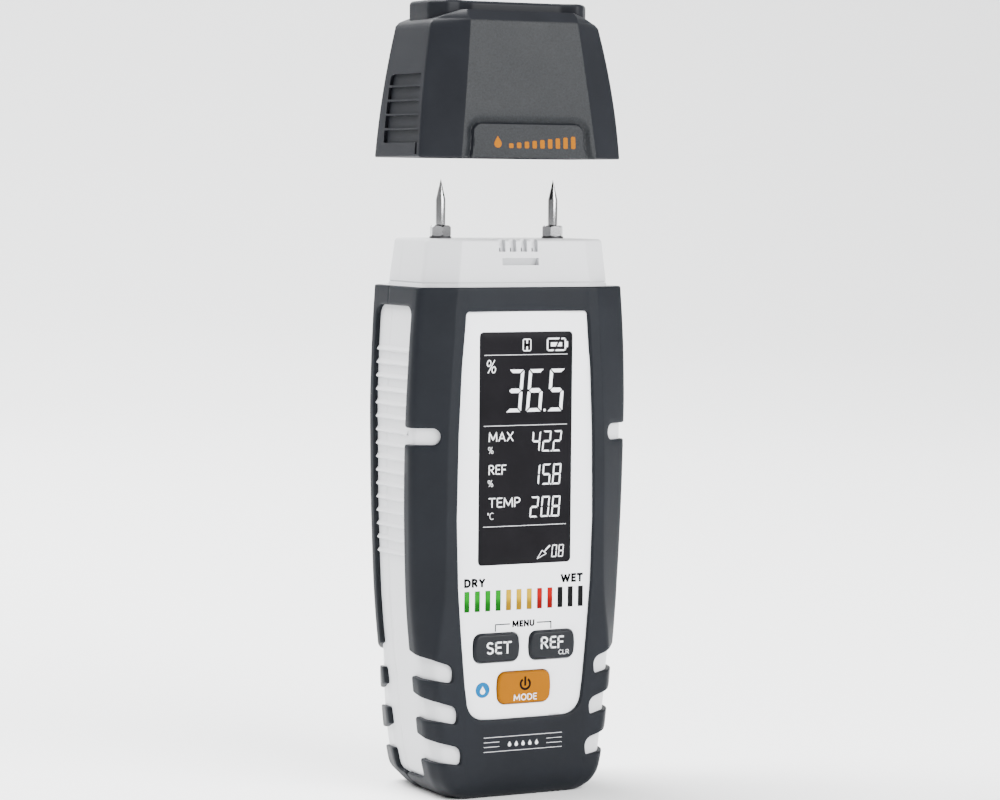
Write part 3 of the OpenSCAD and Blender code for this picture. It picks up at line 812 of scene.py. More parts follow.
def build_skins():
    extra = grid_points(-16.5, 16.5, 114.9, BODY_H - 0.5, 0.45)
    front = panel("front_skin", body_surface(False, 0, skin_shift), skin_outline(False), [label_loop(0.03)],
                  SKIN_T, lambda u, v: skin_rim(u, v), np.concatenate([body_grid(False), extra]))
    dress(front, SKIN, "housing", "soft_skin", "front_skin")
    low, high = cad_box("battery_cover")
    gap = 0.2
    holes = [rounded_loop(rectangle(low[0] - gap, high[0] + gap, low[2] - gap, high[2] + gap, 3.2), 1.5, 9)]
    screw_low, screw_high = cad_box("housing_screws")
    for x in (screw_low[0] + SCREW_HEAD_R, screw_high[0] - SCREW_HEAD_R):
        holes.append(circle_loop(x, screw_high[2] - SCREW_HEAD_R, SCREW_HOLE_R))
    for x in (-LOW_SCREW_X, LOW_SCREW_X):
        holes.append(circle_loop(x, screw_low[2] + SCREW_HEAD_R, SCREW_HOLE_R))
    rear = panel("rear_skin", body_surface(True), skin_outline(True), holes, SKIN_T,
                 lambda u, v: skin_rim(u, v, True), body_grid(True))
    dress(rear, SKIN, "housing", "soft_skin", "rear_skin")


def circle_loop(x, z, r, count=28):
    turn = np.linspace(0, 2 * math.pi, count, endpoint=False)
    return np.stack([x + r * np.cos(turn), z + r * np.sin(turn)], 1)


RIB_COUNT, RIB_PITCH, RIB_FIRST = 16, 3.2, 57.4
# (height, rise) round a rib: steep below, with a longer slope above
RIB_PROFILE = ((-0.5, -0.3), (-0.5, 0.0), (-0.34, 0.3), (-0.16, 0.62), (0.06, 0.62), (0.34, 0.36), (0.85, 0.0),
               (0.85, -0.3))


def grip_ribs(name, rear):
    """The half of every grip rib that belongs to one shell, on both sides, as one mesh."""
    pieces = []
    for i in range(RIB_COUNT):
        z = RIB_FIRST + RIB_PITCH * i
        surface = float(half_width(z)) - SKIN_T
        end = float(strip_rear(z)) - 0.1 if rear else float(strip_front(z)) + 0.1
        stations = ((end, 0.8), (end - 0.3 if rear else end + 0.3, 1.0), (SEAM_Y, 1.0))
        for side in (-1, 1):
            rings = [[(side * (surface + h * k), y, z + dz) for dz, h in RIB_PROFILE] for y, k in stations]
            pieces.append(loft(f"{name}_{i}_{side}", rings, 25))
    return joined(name, *pieces)


def head_half_section(z, inset):
    """Half sections of the white head, wider at its foot than at its top."""
    t = np.clip((np.asarray(z, float) - BODY_H) / (HEAD_TOP - BODY_H), 0, 1)
    w = 24.8 - 1.45 * t - inset
    fore, back = 17.35 - 1.1 * t - 0.4 * inset, 17.3 - 1.0 * t - 0.4 * inset
    front, rear = 15.0 - 0.8 * t - inset, 13.4 - 0.6 * t - inset
    side, aft = 9.9 - 0.1 * t - 0.5 * inset, 8.6 - 0.4 * t - 0.5 * inset
    corners = np.stack([
        np.stack([0 * w, -front], -1), np.stack([fore, -front], -1), np.stack([w, -side], -1),
        np.stack([w, aft], -1), np.stack([back, rear], -1), np.stack([0 * w, rear], -1),
    ], 1)
    r = np.maximum(1.3 - 0.4 * inset, 0.3) + 0 * w
    return rounded_paths(corners, np.stack([r, 1.5 * r, 1.5 * r, r], -1), (12, 7, 11, 6, 10), 5)


def head_half(name, rear):
    """Front or rear half of the head as one closed loft from the shoulder over the top edge."""
    edge, lip = 0.75, 0.72
    profile = [(BODY_H - 1.6, 0.0), (BODY_H, 0.0), (BODY_H + lip - 0.15, 0.0), (BODY_H + lip, 0.06),
               (BODY_H + lip + 0.05, 0.30), (BODY_H + lip + 0.25, 0.30), (BODY_H + lip + 0.32, 0.14),
               (BODY_H + lip + 0.45, 0.05)]
    profile += [(z, 0.04) for z in np.linspace(BODY_H + 2.2, HEAD_TOP - edge, 6)]
    profile += quarter_round(HEAD_TOP - edge, edge, 5, 0.04)
    rings = []
    for z, inset in profile:
        section = head_half_section([z], np.array([inset]))[0]
        y = section[:, 1]
        if rear:
            part = section[y > SEAM_Y][::-1]
            cut = section[np.argmax(y > SEAM_Y)]
        else:
            part = section[y < SEAM_Y]
            cut = part[-1]
        seam = SEAM_Y + 0.03 if rear else SEAM_Y - 0.03
        half = np.concatenate([part, [(cut[0], seam)]])
        left = half[::-1] * (-1, 1)
        ring = np.concatenate([left[:-1], half])
        rings.append(np.column_stack([ring, np.full(len(ring), z)]))
    return loft(name, rings, 32)


def wedge(name, x0, x1, side):
    """A cutter from a side-view outline of (y, z) between x0 and x1."""
    count = len(side)
    verts = [(x, y, z) for x in (x0, x1) for y, z in side]
    faces = [tuple(range(count)), tuple(range(2 * count - 1, count - 1, -1))]
    faces += [(i, i + count, (i + 1) % count + count, (i + 1) % count) for i in range(count)]
    return new_object(name, verts, faces)


VENT_COUNT, VENT_PITCH, VENT_MIDDLE = 4, 2.85, -1.6


def carve_vents(head):
    """Four scoops, each with a small hole into the hollow head, and the wide shallow pocket below them."""
    top, front = HEAD_TOP, -14.25
    inner = [(front + 2.6, top - 6), (front + 11, top - 6), (front + 11, top - 1.3), (front + 2.6, top - 1.3)]
    cutters = [wedge("hollow", VENT_MIDDLE - 6.5, VENT_MIDDLE + 6.5, inner)]
    for i in range(VENT_COUNT):
        x = VENT_MIDDLE + (i - (VENT_COUNT - 1) / 2) * VENT_PITCH
        floor = [(front - 2, top - 2.95), (front + 0.95, top - 2.85), (front + 1.75, top + 0.5),
                 (front - 2, top + 0.5)]
        cutters.append(wedge(f"scoop_{i}", x - 0.85, x + 0.85, floor))
        hole = [(front - 1, top - 2.85), (front + 4, top - 2.85), (front + 4, top - 1.95), (front - 1, top - 1.95)]
        cutters.append(wedge(f"hole_{i}", x - 0.55, x + 0.1, hole))
    pocket = [(front - 2, top - 6.05), (front + 1.5, top - 6.05), (front + 0.75, top - 4.35),
              (front - 2, top - 4.35)]
    cutters.append(wedge("pocket", VENT_MIDDLE - 4.3, VENT_MIDDLE + 5.3, pocket))
    carve(head, *cutters)


def build_shells():
    rim = lambda u, v: 0.04
    front = panel("front_shell_body", body_surface(False, SKIN_T), shell_outline(False),
                  face_holes(0.02), WALL_T, rim, body_grid(False), 0.25, 2)
    head = head_half("front_shell_head", False)
    carve_vents(head)
    front = joined("front_shell", front, head, grip_ribs("front_ribs", False))
    dress(front, WHITE, "housing", "white_plastic", "front_shell")
    low, high = cad_box("battery_cover")
    bay = [rounded_loop(rectangle(low[0] + 0.9, high[0] - 0.9, low[2] + 2.3, high[2] - 2.3, 0.5), 2.0, 4)]
    rear = panel("rear_shell_body", body_surface(True, SKIN_T), shell_outline(True),
                 bay, WALL_T, rim, body_grid(True), 0.25, 2)
    head = head_half("rear_shell_head", True)
    rear = joined("rear_shell", rear, head, grip_ribs("rear_ribs", True))
    dress(rear, WHITE, "housing", "white_plastic", "rear_shell")


# ---------------------------------------------------------------- label, window and light bars

def plane(y):
    """place(u, v, depth) for a flat face seen from the front."""
    return lambda u, v, depth: np.stack([u, y + depth + 0 * u, v], 1)


def ring_at(loop, y):
    return [(x, y, z) for x, z in loop]


def build_front():
    label = panel("front_label", plane(-LABEL_Y), label_loop(-0.03), face_holes(0.0), SKIN_T - 0.9, lambda u,
                  v: 0.06,
                  grid_points(-17.5, 17.5, 19.5, 114, 2.5), 0.3, 2)
    dress(label, LABEL, "housing", "label_film", "front_label")
    window_y = WINDOW_LOW[1]
    loop = rounded_loop(rectangle(*WINDOW_X, *WINDOW_Z, 1.0), 2.0, 7)
    window = panel("display_window", plane(window_y), loop, [], WINDOW_HIGH[1] - window_y, lambda u, v: 0.15,
                   grid_points(WINDOW_X[0], WINDOW_X[1], WINDOW_Z[0], WINDOW_Z[1], 3.0), 0.3, 3)
    dress(window, WINDOW, "housing", "window_black", "display_window")
    first = 0
    for colour, node, count, mat in zip(BAR_COLOURS, BAR_NODES, BAR_COUNTS, (GREEN, YELLOW, RED, DARK)):
        back = cad_box(node)[1][1]
        bars = [light_bar(f"{node}_{i}", BAR_X[i], back) for i in range(first, first + count)]
        first += count
        dress(joined(node, *bars), mat, "housing", f"light_{colour}", node)


def light_bar(name, x, back):
    loop = rounded_loop(rectangle(x - BAR_W / 2, x + BAR_W / 2, *BAR_Z, 0.14), 1.5, 4)
    steps = ((back, 0.0), (-LABEL_Y + 0.12, 0.0), (-LABEL_Y + 0.04, 0.03), (-LABEL_Y, 0.12))
    return loft(name, [ring_at(offset_loop(loop, inset), y) for y, inset in steps], 50)


# ---------------------------------------------------------------- keys

KEY_FACE = BODY_D - 0.08


def key(node, name, mat, slot, body):
    """A key: a pillow-edged cap in the label's hole, a flange behind the shell and a stem."""
    low, high = cad_box(node)
    outline = key_loop(node, 0.0)
    edge = 0.62
    steps = [(-(SHELL_Y - WALL_T), 0.0), (-(KEY_FACE - edge), 0.0)]
    steps += [(-y, inset) for y, inset in quarter_round(KEY_FACE - edge, edge, 5)]
    cap = loft(f"{name}_cap", [ring_at(offset_loop(outline, inset), y) for y, inset in steps], 50)
    flange_loop = rounded_loop(rectangle(low[0], high[0], low[2], high[2], 2.0), 1.5, 6)
    flange = loft(f"{name}_flange", [ring_at(flange_loop, -(SHELL_Y - WALL_T) + d) for d in (0.0, 0.8)])
    middle = (low + high) / 2
    stem = turned(f"{name}_stem", [(0, -12.9), (1.8, -12.9), (1.8, high[1] - 0.2), (1.6, high[1]), (0, high[1])],
                  (middle[0], 0, middle[2]), "Y", 24)
    return dress(joined(name, cap, flange, stem), mat, body, slot, node)


def build_keys():
    key("set_button", "set_key", KEY_DARK, "button_dark", "set_key")
    key("ref_button", "ref_key", KEY_DARK, "button_dark", "ref_key")
    key("mode_button", "mode_key", KEY_ORANGE, "button_orange", "mode_key")


# ---------------------------------------------------------------- prints: thin plates just above a face

PRINT_GAP = 0.006


def plate(name, polygons, front):
    """One mesh of flat polygons of (x, z). front(x, z) gives the y of the face they lie on."""
    verts, faces = [], []
    for polygon in polygons:
        polygon = np.asarray(polygon, float)
        if loop_area(polygon) < 0:
            polygon = polygon[::-1]
        y = front(polygon[:, 0], polygon[:, 1])
        count, base = len(polygon), len(verts)
        verts += list(zip(polygon[:, 0], y - PRINT_T, polygon[:, 1]))
        verts += list(zip(polygon[:, 0], y - PRINT_GAP, polygon[:, 1]))
        faces.append(tuple(range(base, base + count)))
        faces.append(tuple(range(base + 2 * count - 1, base + count - 1, -1)))
        faces += [(base + i, base + count + i, base + count + (i + 1) % count, base + (i + 1) % count)
                  for i in range(count)]
    return new_object(name, verts, faces)


def face_at(y):
    return lambda x, z: y + 0 * np.asarray(x, float)


def bend(x, z, rx, rz, start, stop, steps=14):
    """Points along part of an ellipse, in degrees from +x."""
    return [(x + rx * math.cos(a), z + rz * math.sin(a)) for a in np.radians(np.linspace(start, stop, steps + 1))]


# Plain sans letters as pen lines in a unit square, each with its width for a height of 1
LETTERS = {
    "A": (0.86, [[(0, 0), (0.5, 1)], [(0.5, 1), (1, 0)], [(0.2, 0.3), (0.8, 0.3)]]),
    "C": (0.74, [bend(0.58, 0.5, 0.58, 0.5, 52, 308)]),
    "D": (0.80, [[(0, 0), (0, 1)], [(0, 1), *bend(0.4, 0.5, 0.6, 0.5, 90, -90), (0, 0)]]),
    "E": (0.60, [[(0, 0), (0, 1)], [(0, 1), (1, 1)], [(0, 0.52), (0.88, 0.52)], [(0, 0), (1, 0)]]),
    "F": (0.58, [[(0, 0), (0, 1)], [(0, 1), (1, 1)], [(0, 0.5), (0.88, 0.5)]]),
    "H": (0.60, [[(0, 0), (0, 1)], [(1, 0), (1, 1)], [(0, 0.5), (1, 0.5)]]),
    "L": (0.56, [[(0, 0), (0, 1)], [(0, 0), (1, 0)]]),
    "M": (1.02, [[(0, 0), (0.05, 1)], [(0.05, 1), (0.5, 0.12)], [(0.5, 0.12), (0.95, 1)], [(0.95, 1), (1, 0)]]),
    "N": (0.80, [[(0, 0), (0, 1)], [(0, 1), (1, 0)], [(1, 0), (1, 1)]]),
    "O": (0.92, [bend(0.5, 0.5, 0.5, 0.5, 0, 360, 28)]),
    "P": (0.66, [[(0, 0), (0, 1)], [(0, 1), *bend(0.45, 0.72, 0.55, 0.28, 90, -90), (0, 0.44)]]),
    "R": (0.72, [[(0, 0), (0, 1)], [(0, 1), *bend(0.4, 0.74, 0.52, 0.26, 90, -90), (0, 0.48)],
                 [(0.42, 0.48), (1, 0)]]),
    "S": (0.64, [bend(0.5, 0.76, 0.48, 0.24, 35, 235, 12) + bend(0.5, 0.25, 0.5, 0.25, 60, -150, 12)]),
    "T": (0.74, [[(0, 1), (1, 1)], [(0.5, 0), (0.5, 1)]]),
    "U": (0.78, [[(0, 1), *bend(0.5, 0.38, 0.5, 0.38, 180, 360), (1, 1)]]),
    "W": (1.20, [[(0, 1), (0.25, 0)], [(0.25, 0), (0.5, 0.92)], [(0.5, 0.92), (0.75, 0)], [(0.75, 0), (1, 1)]]),
    "X": (0.80, [[(0, 0), (1, 1)], [(0, 1), (1, 0)]]),
    "Y": (0.78, [[(0, 1), (0.5, 0.46)], [(1, 1), (0.5, 0.46)], [(0.5, 0), (0.5, 0.5)]]),
    "%": (0.95, [bend(0.2, 0.76, 0.2, 0.24, 0, 360, 20), bend(0.8, 0.24, 0.2, 0.24, 0, 360, 20),
                 [(0.2, 0), (0.8, 1)]]),
    "°": (0.24, [bend(0.5, 0.86, 0.5, 0.14, 0, 360, 16)]),
}


def band(points, width, square=True):
    """One polygon that follows a line of points at an even width, its ends drawn out by half a width."""
    points = np.array(points, float)
    ahead = unit(np.diff(points, axis=0))
    if square:
        for end, way in ((0, -ahead[0]), (-1, ahead[-1])):
            small, large = sorted(np.abs(way))
            points[end] += way * width / 2 * (1 - small) / large
    before, after = np.concatenate([ahead[:1], ahead]), np.concatenate([ahead, ahead[-1:]])
    left = lambda d: np.stack([-d[:, 1], d[:, 0]], 1)
    across = unit(left(before) + left(after))
    reach = width / 2 / np.maximum((across * left(after)).sum(1), 0.6)
    side = across * reach[:, None]
    return np.concatenate([points + side, (points - side)[::-1]])


def words(name, text, x, z, width, height, front, pen=0.17, lean=0.0, gap=0.14):
    """Plain lettering centred at (x, z), with a pen width given as a share of the capital height."""
    widths = [LETTERS[letter][0] for letter in text]
    scale = width / (sum(widths) + gap * (len(text) - 1))
    at, t, polygons = x - width / 2, pen * height, []
    for letter, share in zip(text, widths):
        room = share * scale
        for line in LETTERS[letter][1]:
            spots = [(at + t / 2 + u * (room - t), -height / 2 + t / 2 + v * (height - t)) for u, v in line]
            ring, half = math.dist(line[0], line[-1]) < 1e-6, len(spots) // 2
            for part in ((spots[:half + 1], spots[half:]) if ring else (spots,)):
                shape = band(part, t, not ring)
                shape[:, 0] += lean * shape[:, 1]
                polygons.append(shape + (0, z))
        at += (share + gap) * scale
    return plate(name, polygons, front)


def stroke(points, width, closed=False):
    """A line of even width through points, as quads."""
    points = [np.array(p, float) for p in points]
    if closed:
        points.append(points[0])
    out = []
    for a, b in zip(points, points[1:]):
        along = unit(b - a)
        across = np.array([-along[1], along[0]]) * width / 2
        out.append([a + across, a - across, b - across, b + across])
    return out


def arc_band(x, z, r, width, start, stop, steps=24):
    """A band of even width along an arc, in degrees from +x, as quads."""
    a = np.radians(np.linspace(start, stop, steps + 1))
    inner, outer = r - width / 2, r + width / 2
    out = []
    for p, q in zip(a, a[1:]):
        spots = ((inner, p), (outer, p), (outer, q), (inner, q))
        out.append([(x + reach * math.cos(t), z + reach * math.sin(t)) for reach, t in spots])
    return out


# Lit segments of each digit: top, upper right, lower right, bottom, lower left, upper left, middle
SEGMENTS = {"0": "abcdef", "1": "bc", "2": "abdeg", "3": "abcdg", "4": "bcfg", "5": "acdfg", "6": "acdefg",
            "8": "abcdefg"}
LEAN = 0.085


def digit(value, x, z, width, height, thick):
    """A seven-segment digit centred at (x, z), leaning a little to the right."""
    w, h, t = width / 2, height / 2, thick
    gap = t * 0.16
    corners = {
        "a": ((-w, h), (w, h), (w - t, h - t), (-w + t, h - t)),
        "d": ((-w, -h), (w, -h), (w - t, -h + t), (-w + t, -h + t)),
        "b": ((w, h), (w - t, h - t), (w - t, t / 2), (w - t / 2, 0), (w, t * 0.2)),
        "c": ((w, -h), (w - t, -h + t), (w - t, -t / 2), (w - t / 2, 0), (w, -t * 0.2)),
        "f": ((-w, h), (-w + t, h - t), (-w + t, t / 2), (-w + t / 2, 0), (-w, t * 0.2)),
        "e": ((-w, -h), (-w + t, -h + t), (-w + t, -t / 2), (-w + t / 2, 0), (-w, -t * 0.2)),
        "g": ((-w + t / 3, 0), (-w + t, t * 0.6), (w - t, t * 0.6), (w - t / 3, 0), (w - t, -t * 0.6),
              (-w + t, -t * 0.6)),
    }
    out = []
    for name in SEGMENTS[value]:
        shape = np.array(corners[name])
        if loop_area(shape) < 0:
            shape = shape[::-1]
        shape = offset_loop(shape, gap)
        shape[:, 0] += LEAN * shape[:, 1]
        out.append(shape + (x, z))
    return out


def dot(x, z, r):
    return [circle_loop(x, z, r, 12)]


def droplet(x, z, r):
    """A plain drop: a round base drawn up to a point."""
    out = [(x, z + 1.9 * r)]
    for a in np.radians(np.linspace(30, -210, 22)):
        out.append((x + r * math.cos(a), z + r * math.sin(a)))
    return [out]


def display_marks():
    """Everything the display shows, apart from its lettering."""
    marks = []
    for value, x in (("3", -2.9), ("6", 2.45), ("5", 8.05)):
        marks += digit(value, x, 96.15, 4.35, 10.3, 1.14)
    marks += dot(4.98, 91.45, 0.32)
    rows = ((84.1, "422", (2.85, 5.65, 8.45), 6.9), (76.25, "158", (2.75, 5.65, 8.4), 6.85),
            (68.6, "208", (2.5, 5.4, 8.25), 6.65))
    for z, values, places, point in rows:
        for value, x in zip(values, places):
            marks += digit(value, x, z, 2.3, 5.05, 0.52)
        marks += dot(point, z - 2.35, 0.17)
    for value, x in (("0", 7.95), ("8", 9.75)):
        marks += digit(value, x, 57.95, 1.4, 3.0, 0.3)
    for z in (104.6, 88.0, 64.3):
        marks += stroke([(-11.0, z), (11.0, z)], 0.09)
    marks += [rounded_loop(rectangle(-0.95, 1.3, 105.4, 108.35, 0.5), 1, 5)]
    return marks + battery_icon(5.46, 10.56, 105.36, 108.47) + trowel_icon(3.38, 56.25)


def battery_icon(x0, x1, z0, z1):
    """A battery outline with a charge block inside, both cut in two by a slanted gap."""
    t, gap = 0.36, 0.27
    cut = lambda z: x0 + 1.97 + 0.547 * (z - z0)
    out = [[(x0, z0), (x0 + t, z0), (x0 + t, z1), (x0, z1)], [(x1 - t, z0), (x1, z0), (x1, z1), (x1 - t, z1)]]
    block = (z0 + 3 * t, z1 - 3 * t, x0 + 3 * t, x1 - 3 * t)
    for low, high, left, right in ((z0, z0 + t, x0, x1), (z1 - t, z1, x0, x1), block):
        out.append([(left, low), (cut(low) - gap, low), (cut(high) - gap, high), (left, high)])
        out.append([(cut(low) + gap, low), (right, low), (right, high), (cut(high) + gap, high)])
    middle = (z0 + z1) / 2
    out.append([(x1, middle - 0.7), (x1 + 0.5, middle - 0.7), (x1 + 0.5, middle + 0.7), (x1, middle + 0.7)])
    return out


def trowel_icon(x, z):
    """A pointing trowel: an outlined blade and a solid handle, leaning to the right."""
    blade = [(x, z), (x + 1.3, z + 1.95), (x + 2.45, z + 1.15)]
    out = [*stroke(blade, 0.13, True), *stroke([(x + 1.95, z + 1.6), (x + 2.4, z + 2.15)], 0.2)]
    return out + stroke([(x + 2.25, z + 2.0), (x + 3.4, z + 3.05)], 0.36)


def build_prints():
    glass = face_at(WINDOW_LOW[1])
    lit = [plate("display_marks", display_marks(), glass)]
    for text, x, z, width, height, lean in (
        ("MAX", -6.45, 85.45, 6.5, 2.3, 0), ("REF", -7.35, 77.7, 4.6, 2.3, 0), ("TEMP", -5.4, 69.95, 8.35, 2.3, 0),
        ("%", -9.15, 101.95, 2.55, 3.15, 0.1), ("%", -9.15, 82.3, 1.35, 1.6, 0), ("%", -9.15, 74.5, 1.35, 1.6, 0),
        ("°C", -9.05, 66.8, 1.65, 1.6, 0),
    ):
        pen = 0.115 if height == 2.3 else 0.07
        lit.append(words(f"display_{x}_{z}", text, x, z, width, height, glass, pen, lean))
    dress(joined("display_reading", *lit), PRINT_WHITE, "housing", "lcd_glass")
    hold = words("display_hold_letter", "H", 0.18, 106.88, 1.75, 2.45, face_at(WINDOW_LOW[1] - PRINT_T), 0.27)
    dress(hold, WINDOW, "housing", "lcd_glass")

    film = face_at(-LABEL_Y)
    black = [plate("menu_bracket", [
        *stroke([(-7.55, 39.5), (-7.55, 41.28)], 0.28), *stroke([(-7.69, 41.14), (-3.7, 41.14)], 0.28),
        *stroke([(7.2, 39.5), (7.2, 41.28)], 0.28), *stroke([(7.34, 41.14), (3.45, 41.14)], 0.28),
    ], film)]
    for text, x, z, width, height, pen in (
        ("DRY", -13.1, 51.25, 5.55, 2.1, 0.26), ("WET", 12.7, 51.35, 6.0, 2.1, 0.26),
        ("MENU", -0.15, 41.1, 5.9, 1.6, 0.27),
    ):
        black.append(words(f"label_{text}", text, x, z, width, height, film, pen, gap=0.1))
    dress(joined("label_print", *black), PRINT_BLACK, "housing", "label_film")
    blue = plate("label_mark", [circle_loop(-10.8, 25.85, 1.85, 32)], film)
    dress(blue, PRINT_BLUE, "housing", "label_film")
    drop = plate("label_mark_drop", droplet(-10.8, 25.5, 0.66), face_at(-LABEL_Y - PRINT_T))
    dress(drop, PRINT_WHITE, "housing", "label_film")

    face = face_at(-KEY_FACE)
    dress(words("set_print", "SET", -6.95, 35.75, 6.6, 2.9, face, 0.14), PRINT_WHITE, "set_key", "button_dark")
    ref = joined("ref_print", words("ref_word", "REF", 7.2, 36.3, 6.1, 2.9, face, 0.14),
                 words("clr_word", "CLR", 10.3, 33.85, 2.8, 1.1, face, 0.11))
    dress(ref, PRINT_WHITE, "ref_key", "button_dark")
    x, pen = 0.08, 0.52
    power = plate("power_symbol", [*arc_band(x, 26.8, 1.25, pen, 122, 418), *stroke([(x, 26.35), (x, 28.55)], pen)],
                  face)
    dress(power, PRINT_BLACK, "mode_key", "button_orange")
    dress(words("mode_print", "MODE", 0.1, 23.7, 6.1, 1.55, face, 0.14), PRINT_WHITE, "mode_key", "button_orange")

    skin = face_at(-BODY_D + PRINT_T)
    lines = []
    left, right, thick = -10.8, 9.95, 0.085
    for z in (14.6, 11.2):
        lines += stroke([(left, z), (right, z)], thick)
    for z in (13.45, 12.35):
        lines += stroke([(left, z), (left + 4.1, z)], thick) + stroke([(right - 4.1, z), (right, z)], thick)
    for i in range(5):
        lines += droplet(-4.0 + 1.8 * i, 12.6, 0.42)
    dress(plate("skin_print", lines, skin), PRINT_WHITE, "housing", "soft_skin")


# ---------------------------------------------------------------- pins and nuts

# The compass direction each nut's corner points to, in degrees from the front
NUT_TURNS = {"left": -14.7, "right": -37.0}


def build_pins():
    for side in ("left", "right"):
        low, high = cad_box(f"{side}_pin")
        nut_low, nut_high = cad_box(f"{side}_nut")
        x, y = (low[:2] + high[:2]) / 2
        radius = 1.15
        shaft, tip, cone = nut_high[2] + 0.05, high[2], 4.9
        profile = [(0, low[2]), (0.8, low[2]), (0.8, nut_low[2] + 1.3), (1.45, nut_low[2] + 1.3),
                   (1.45, nut_low[2] + 1.8), (0.95, nut_low[2] + 1.85), (0.95, shaft), (radius - 0.12, shaft),
                   (radius, shaft + 0.12)]
        for t in np.linspace(0, 1, 15):
            profile.append((max(radius * (1 - t), 0.03), tip - cone + cone * t))
        pin = turned(f"{side}_pin", profile, (x, y, 0), "Z", 64, 30)
        dress(pin, STEEL, "housing", "steel", f"{side}_pin")
        height, flat = nut_high[2] - nut_low[2], 2.6
        turn = math.radians(NUT_TURNS[side] - 90)
        rings = []
        for z in (nut_low[2], nut_high[2]):
            rings.append([(x + flat * math.cos(turn + k * math.pi / 3), y + flat * math.sin(turn + k * math.pi / 3),
                           z)
                          for k in range(6)])
        nut = loft(f"{side}_nut", rings)
        bevel = [(0, -0.01), (2.2, -0.01), (2.62, 0.28), (2.62, height - 0.45), (2.1, height + 0.01),
                 (0, height + 0.01)]
        carve(nut, turned("nut_bevel", bevel, (x, y, nut_low[2])), operation="INTERSECT")
        bore = [(0, -1), (1.6, -1), (1.6, height - 0.75), (1.25, height - 0.7), (1.25, height - 0.1),
                (1.4, height + 0.1), (0, height + 0.2)]
        carve(nut, turned("nut_bore", bore, (x, y, nut_low[2])))
        dress(nut, NICKEL, "housing", "nickel", f"{side}_nut")


# ---------------------------------------------------------------- cap

# Wall thickness, and the height above the rim where the upright walls end
CAP_WALL, CAP_EDGE = 1.2, 32.1


def cap_sizes(h):
    """Half width, front flat, front side, depth, rear side and rear depth of the cap at a height."""
    h = np.asarray(h, float)
    low = np.minimum(h, 31.0)
    depth = 16.6 - 0.06 * low - 0.0012 * low**2
    curve = (26.6 - 0.06 * low - 0.0025 * low**2, 17.8 - 0.115 * low, 12.1 - 0.05 * low - 0.002 * low**2, depth,
             12.4 - 0.065 * low, depth)
    knots = (31.0, 31.9, CAP_EDGE + 0.1, 33.3, 34.4)
    above = ((22.34, 21.6, 21.0, 18.2, 14.8), (14.23, 14.15, 14.1, 14.5, 13.9), (8.63, 8.3, 8.2, 9.6, 10.2),
             (13.59, 13.4, 13.2, 12.3, 11.4), (10.39, 10.0, 9.8, 8.8, 8.0), (13.59, 13.3, 13.0, 11.8, 10.4))
    return [np.where(h > 31, np.interp(h, knots, top), base) for base, top in zip(curve, above)]


CAP_STRAIGHTS = (66, 9, 16, 9, 20)


def cap_ring(h, inset, groove=False):
    w, flat, side, d, rear, rd = (float(v) for v in cap_sizes(h))
    w, d, rd = w - inset, d - inset, rd - inset
    flat, side, rear = flat - inset / 3, side - inset / 2, rear - inset / 2
    corners = np.array([[(0, -d), (flat, -d), (w, -side), (w, rear), (flat, rd), (0, rd)]])
    r = 0.7 if inset < 0.6 else 0.4
    half = rounded_paths(corners, np.array([[r, r, r, r]]), CAP_STRAIGHTS, 5)[0]
    if groove:
        front = half[:, 1] < -d + 0.3
        half[front, 1] += cap_groove(half[front, 0], h)
    left = half[1:-1][::-1] * (-1, 1)
    ring = np.concatenate([half, left])
    return np.column_stack([ring, np.full(len(ring), CAP_Z + h)])


def cap_groove(x, h):
    """Depth of the groove that frames the foot of the cap's front: a long slope in, then a steep step out."""
    x = np.abs(x)
    side = 14.8 + 0.8 * np.clip(1 - h / 5.0, 0, 1) ** 2
    top, corner_r = 8.2, 2.4
    dx, dz = x - (side - corner_r), h - (top - corner_r)
    curve = np.hypot(np.maximum(dx, 0), max(dz, 0)) - corner_r
    away = np.where((dx > 0) & (dz > 0), curve, np.maximum(dx, dz) - corner_r)
    slope = 0.5 + 0.5 * np.cos(np.clip(away / 1.7, 0, 1) * math.pi)
    return 0.7 * np.where(away > 0, slope, np.clip(1 + away / 0.35, 0, 1))


# Heights of the ribs between the side pockets, and how far the pockets' front ends lean back per mm
CAP_RIBS = (157.2, 160.6, 163.95, 167.3)
POCKET_LEAN = 0.16


def side_pocket(name, side, y0, y1, z0, z1, depth, rear_top=0.25):
    """A cutter for a pocket of even depth in the cap's leaning side wall."""
    r = min(0.25, 0.4 * (y1 - y0))
    front = lambda z: y0 + POCKET_LEAN * (z - CAP_RIBS[0])
    loop = rounded_loop([(front(z0), z0, r), (y1, z0, r), (y1, z1, min(rear_top, 0.4 * (y1 - y0))),
                         (front(z1), z1, r)], 0.8, 5)
    surface = lambda z: cap_sizes(z - CAP_Z)[0]
    rings = []
    for extra in (-depth, 2.0):
        rings.append([(side * (float(surface(z)) + extra), y, z) for y, z in loop])
    return loft(name, rings)


# Corners (x, y, radius) of the block on top of the cap, seen from above
CROWN_PLAN = (
    (-21.0, 5.7, 1.8), (-21.0, -4.6, 1.5), (-17.6, -8.2, 2.2), (-14.6, -8.3, 1.8), (-10.5, -6.3, 3.5),
    (13.0, -6.3, 3.5), (16.9, -8.3, 1.8), (18.6, -7.6, 2.0), (21.0, -4.6, 1.5), (21.0, 5.7, 1.8),
    (16.4, 9.4, 2.0), (-16.4, 9.4, 2.0),
)


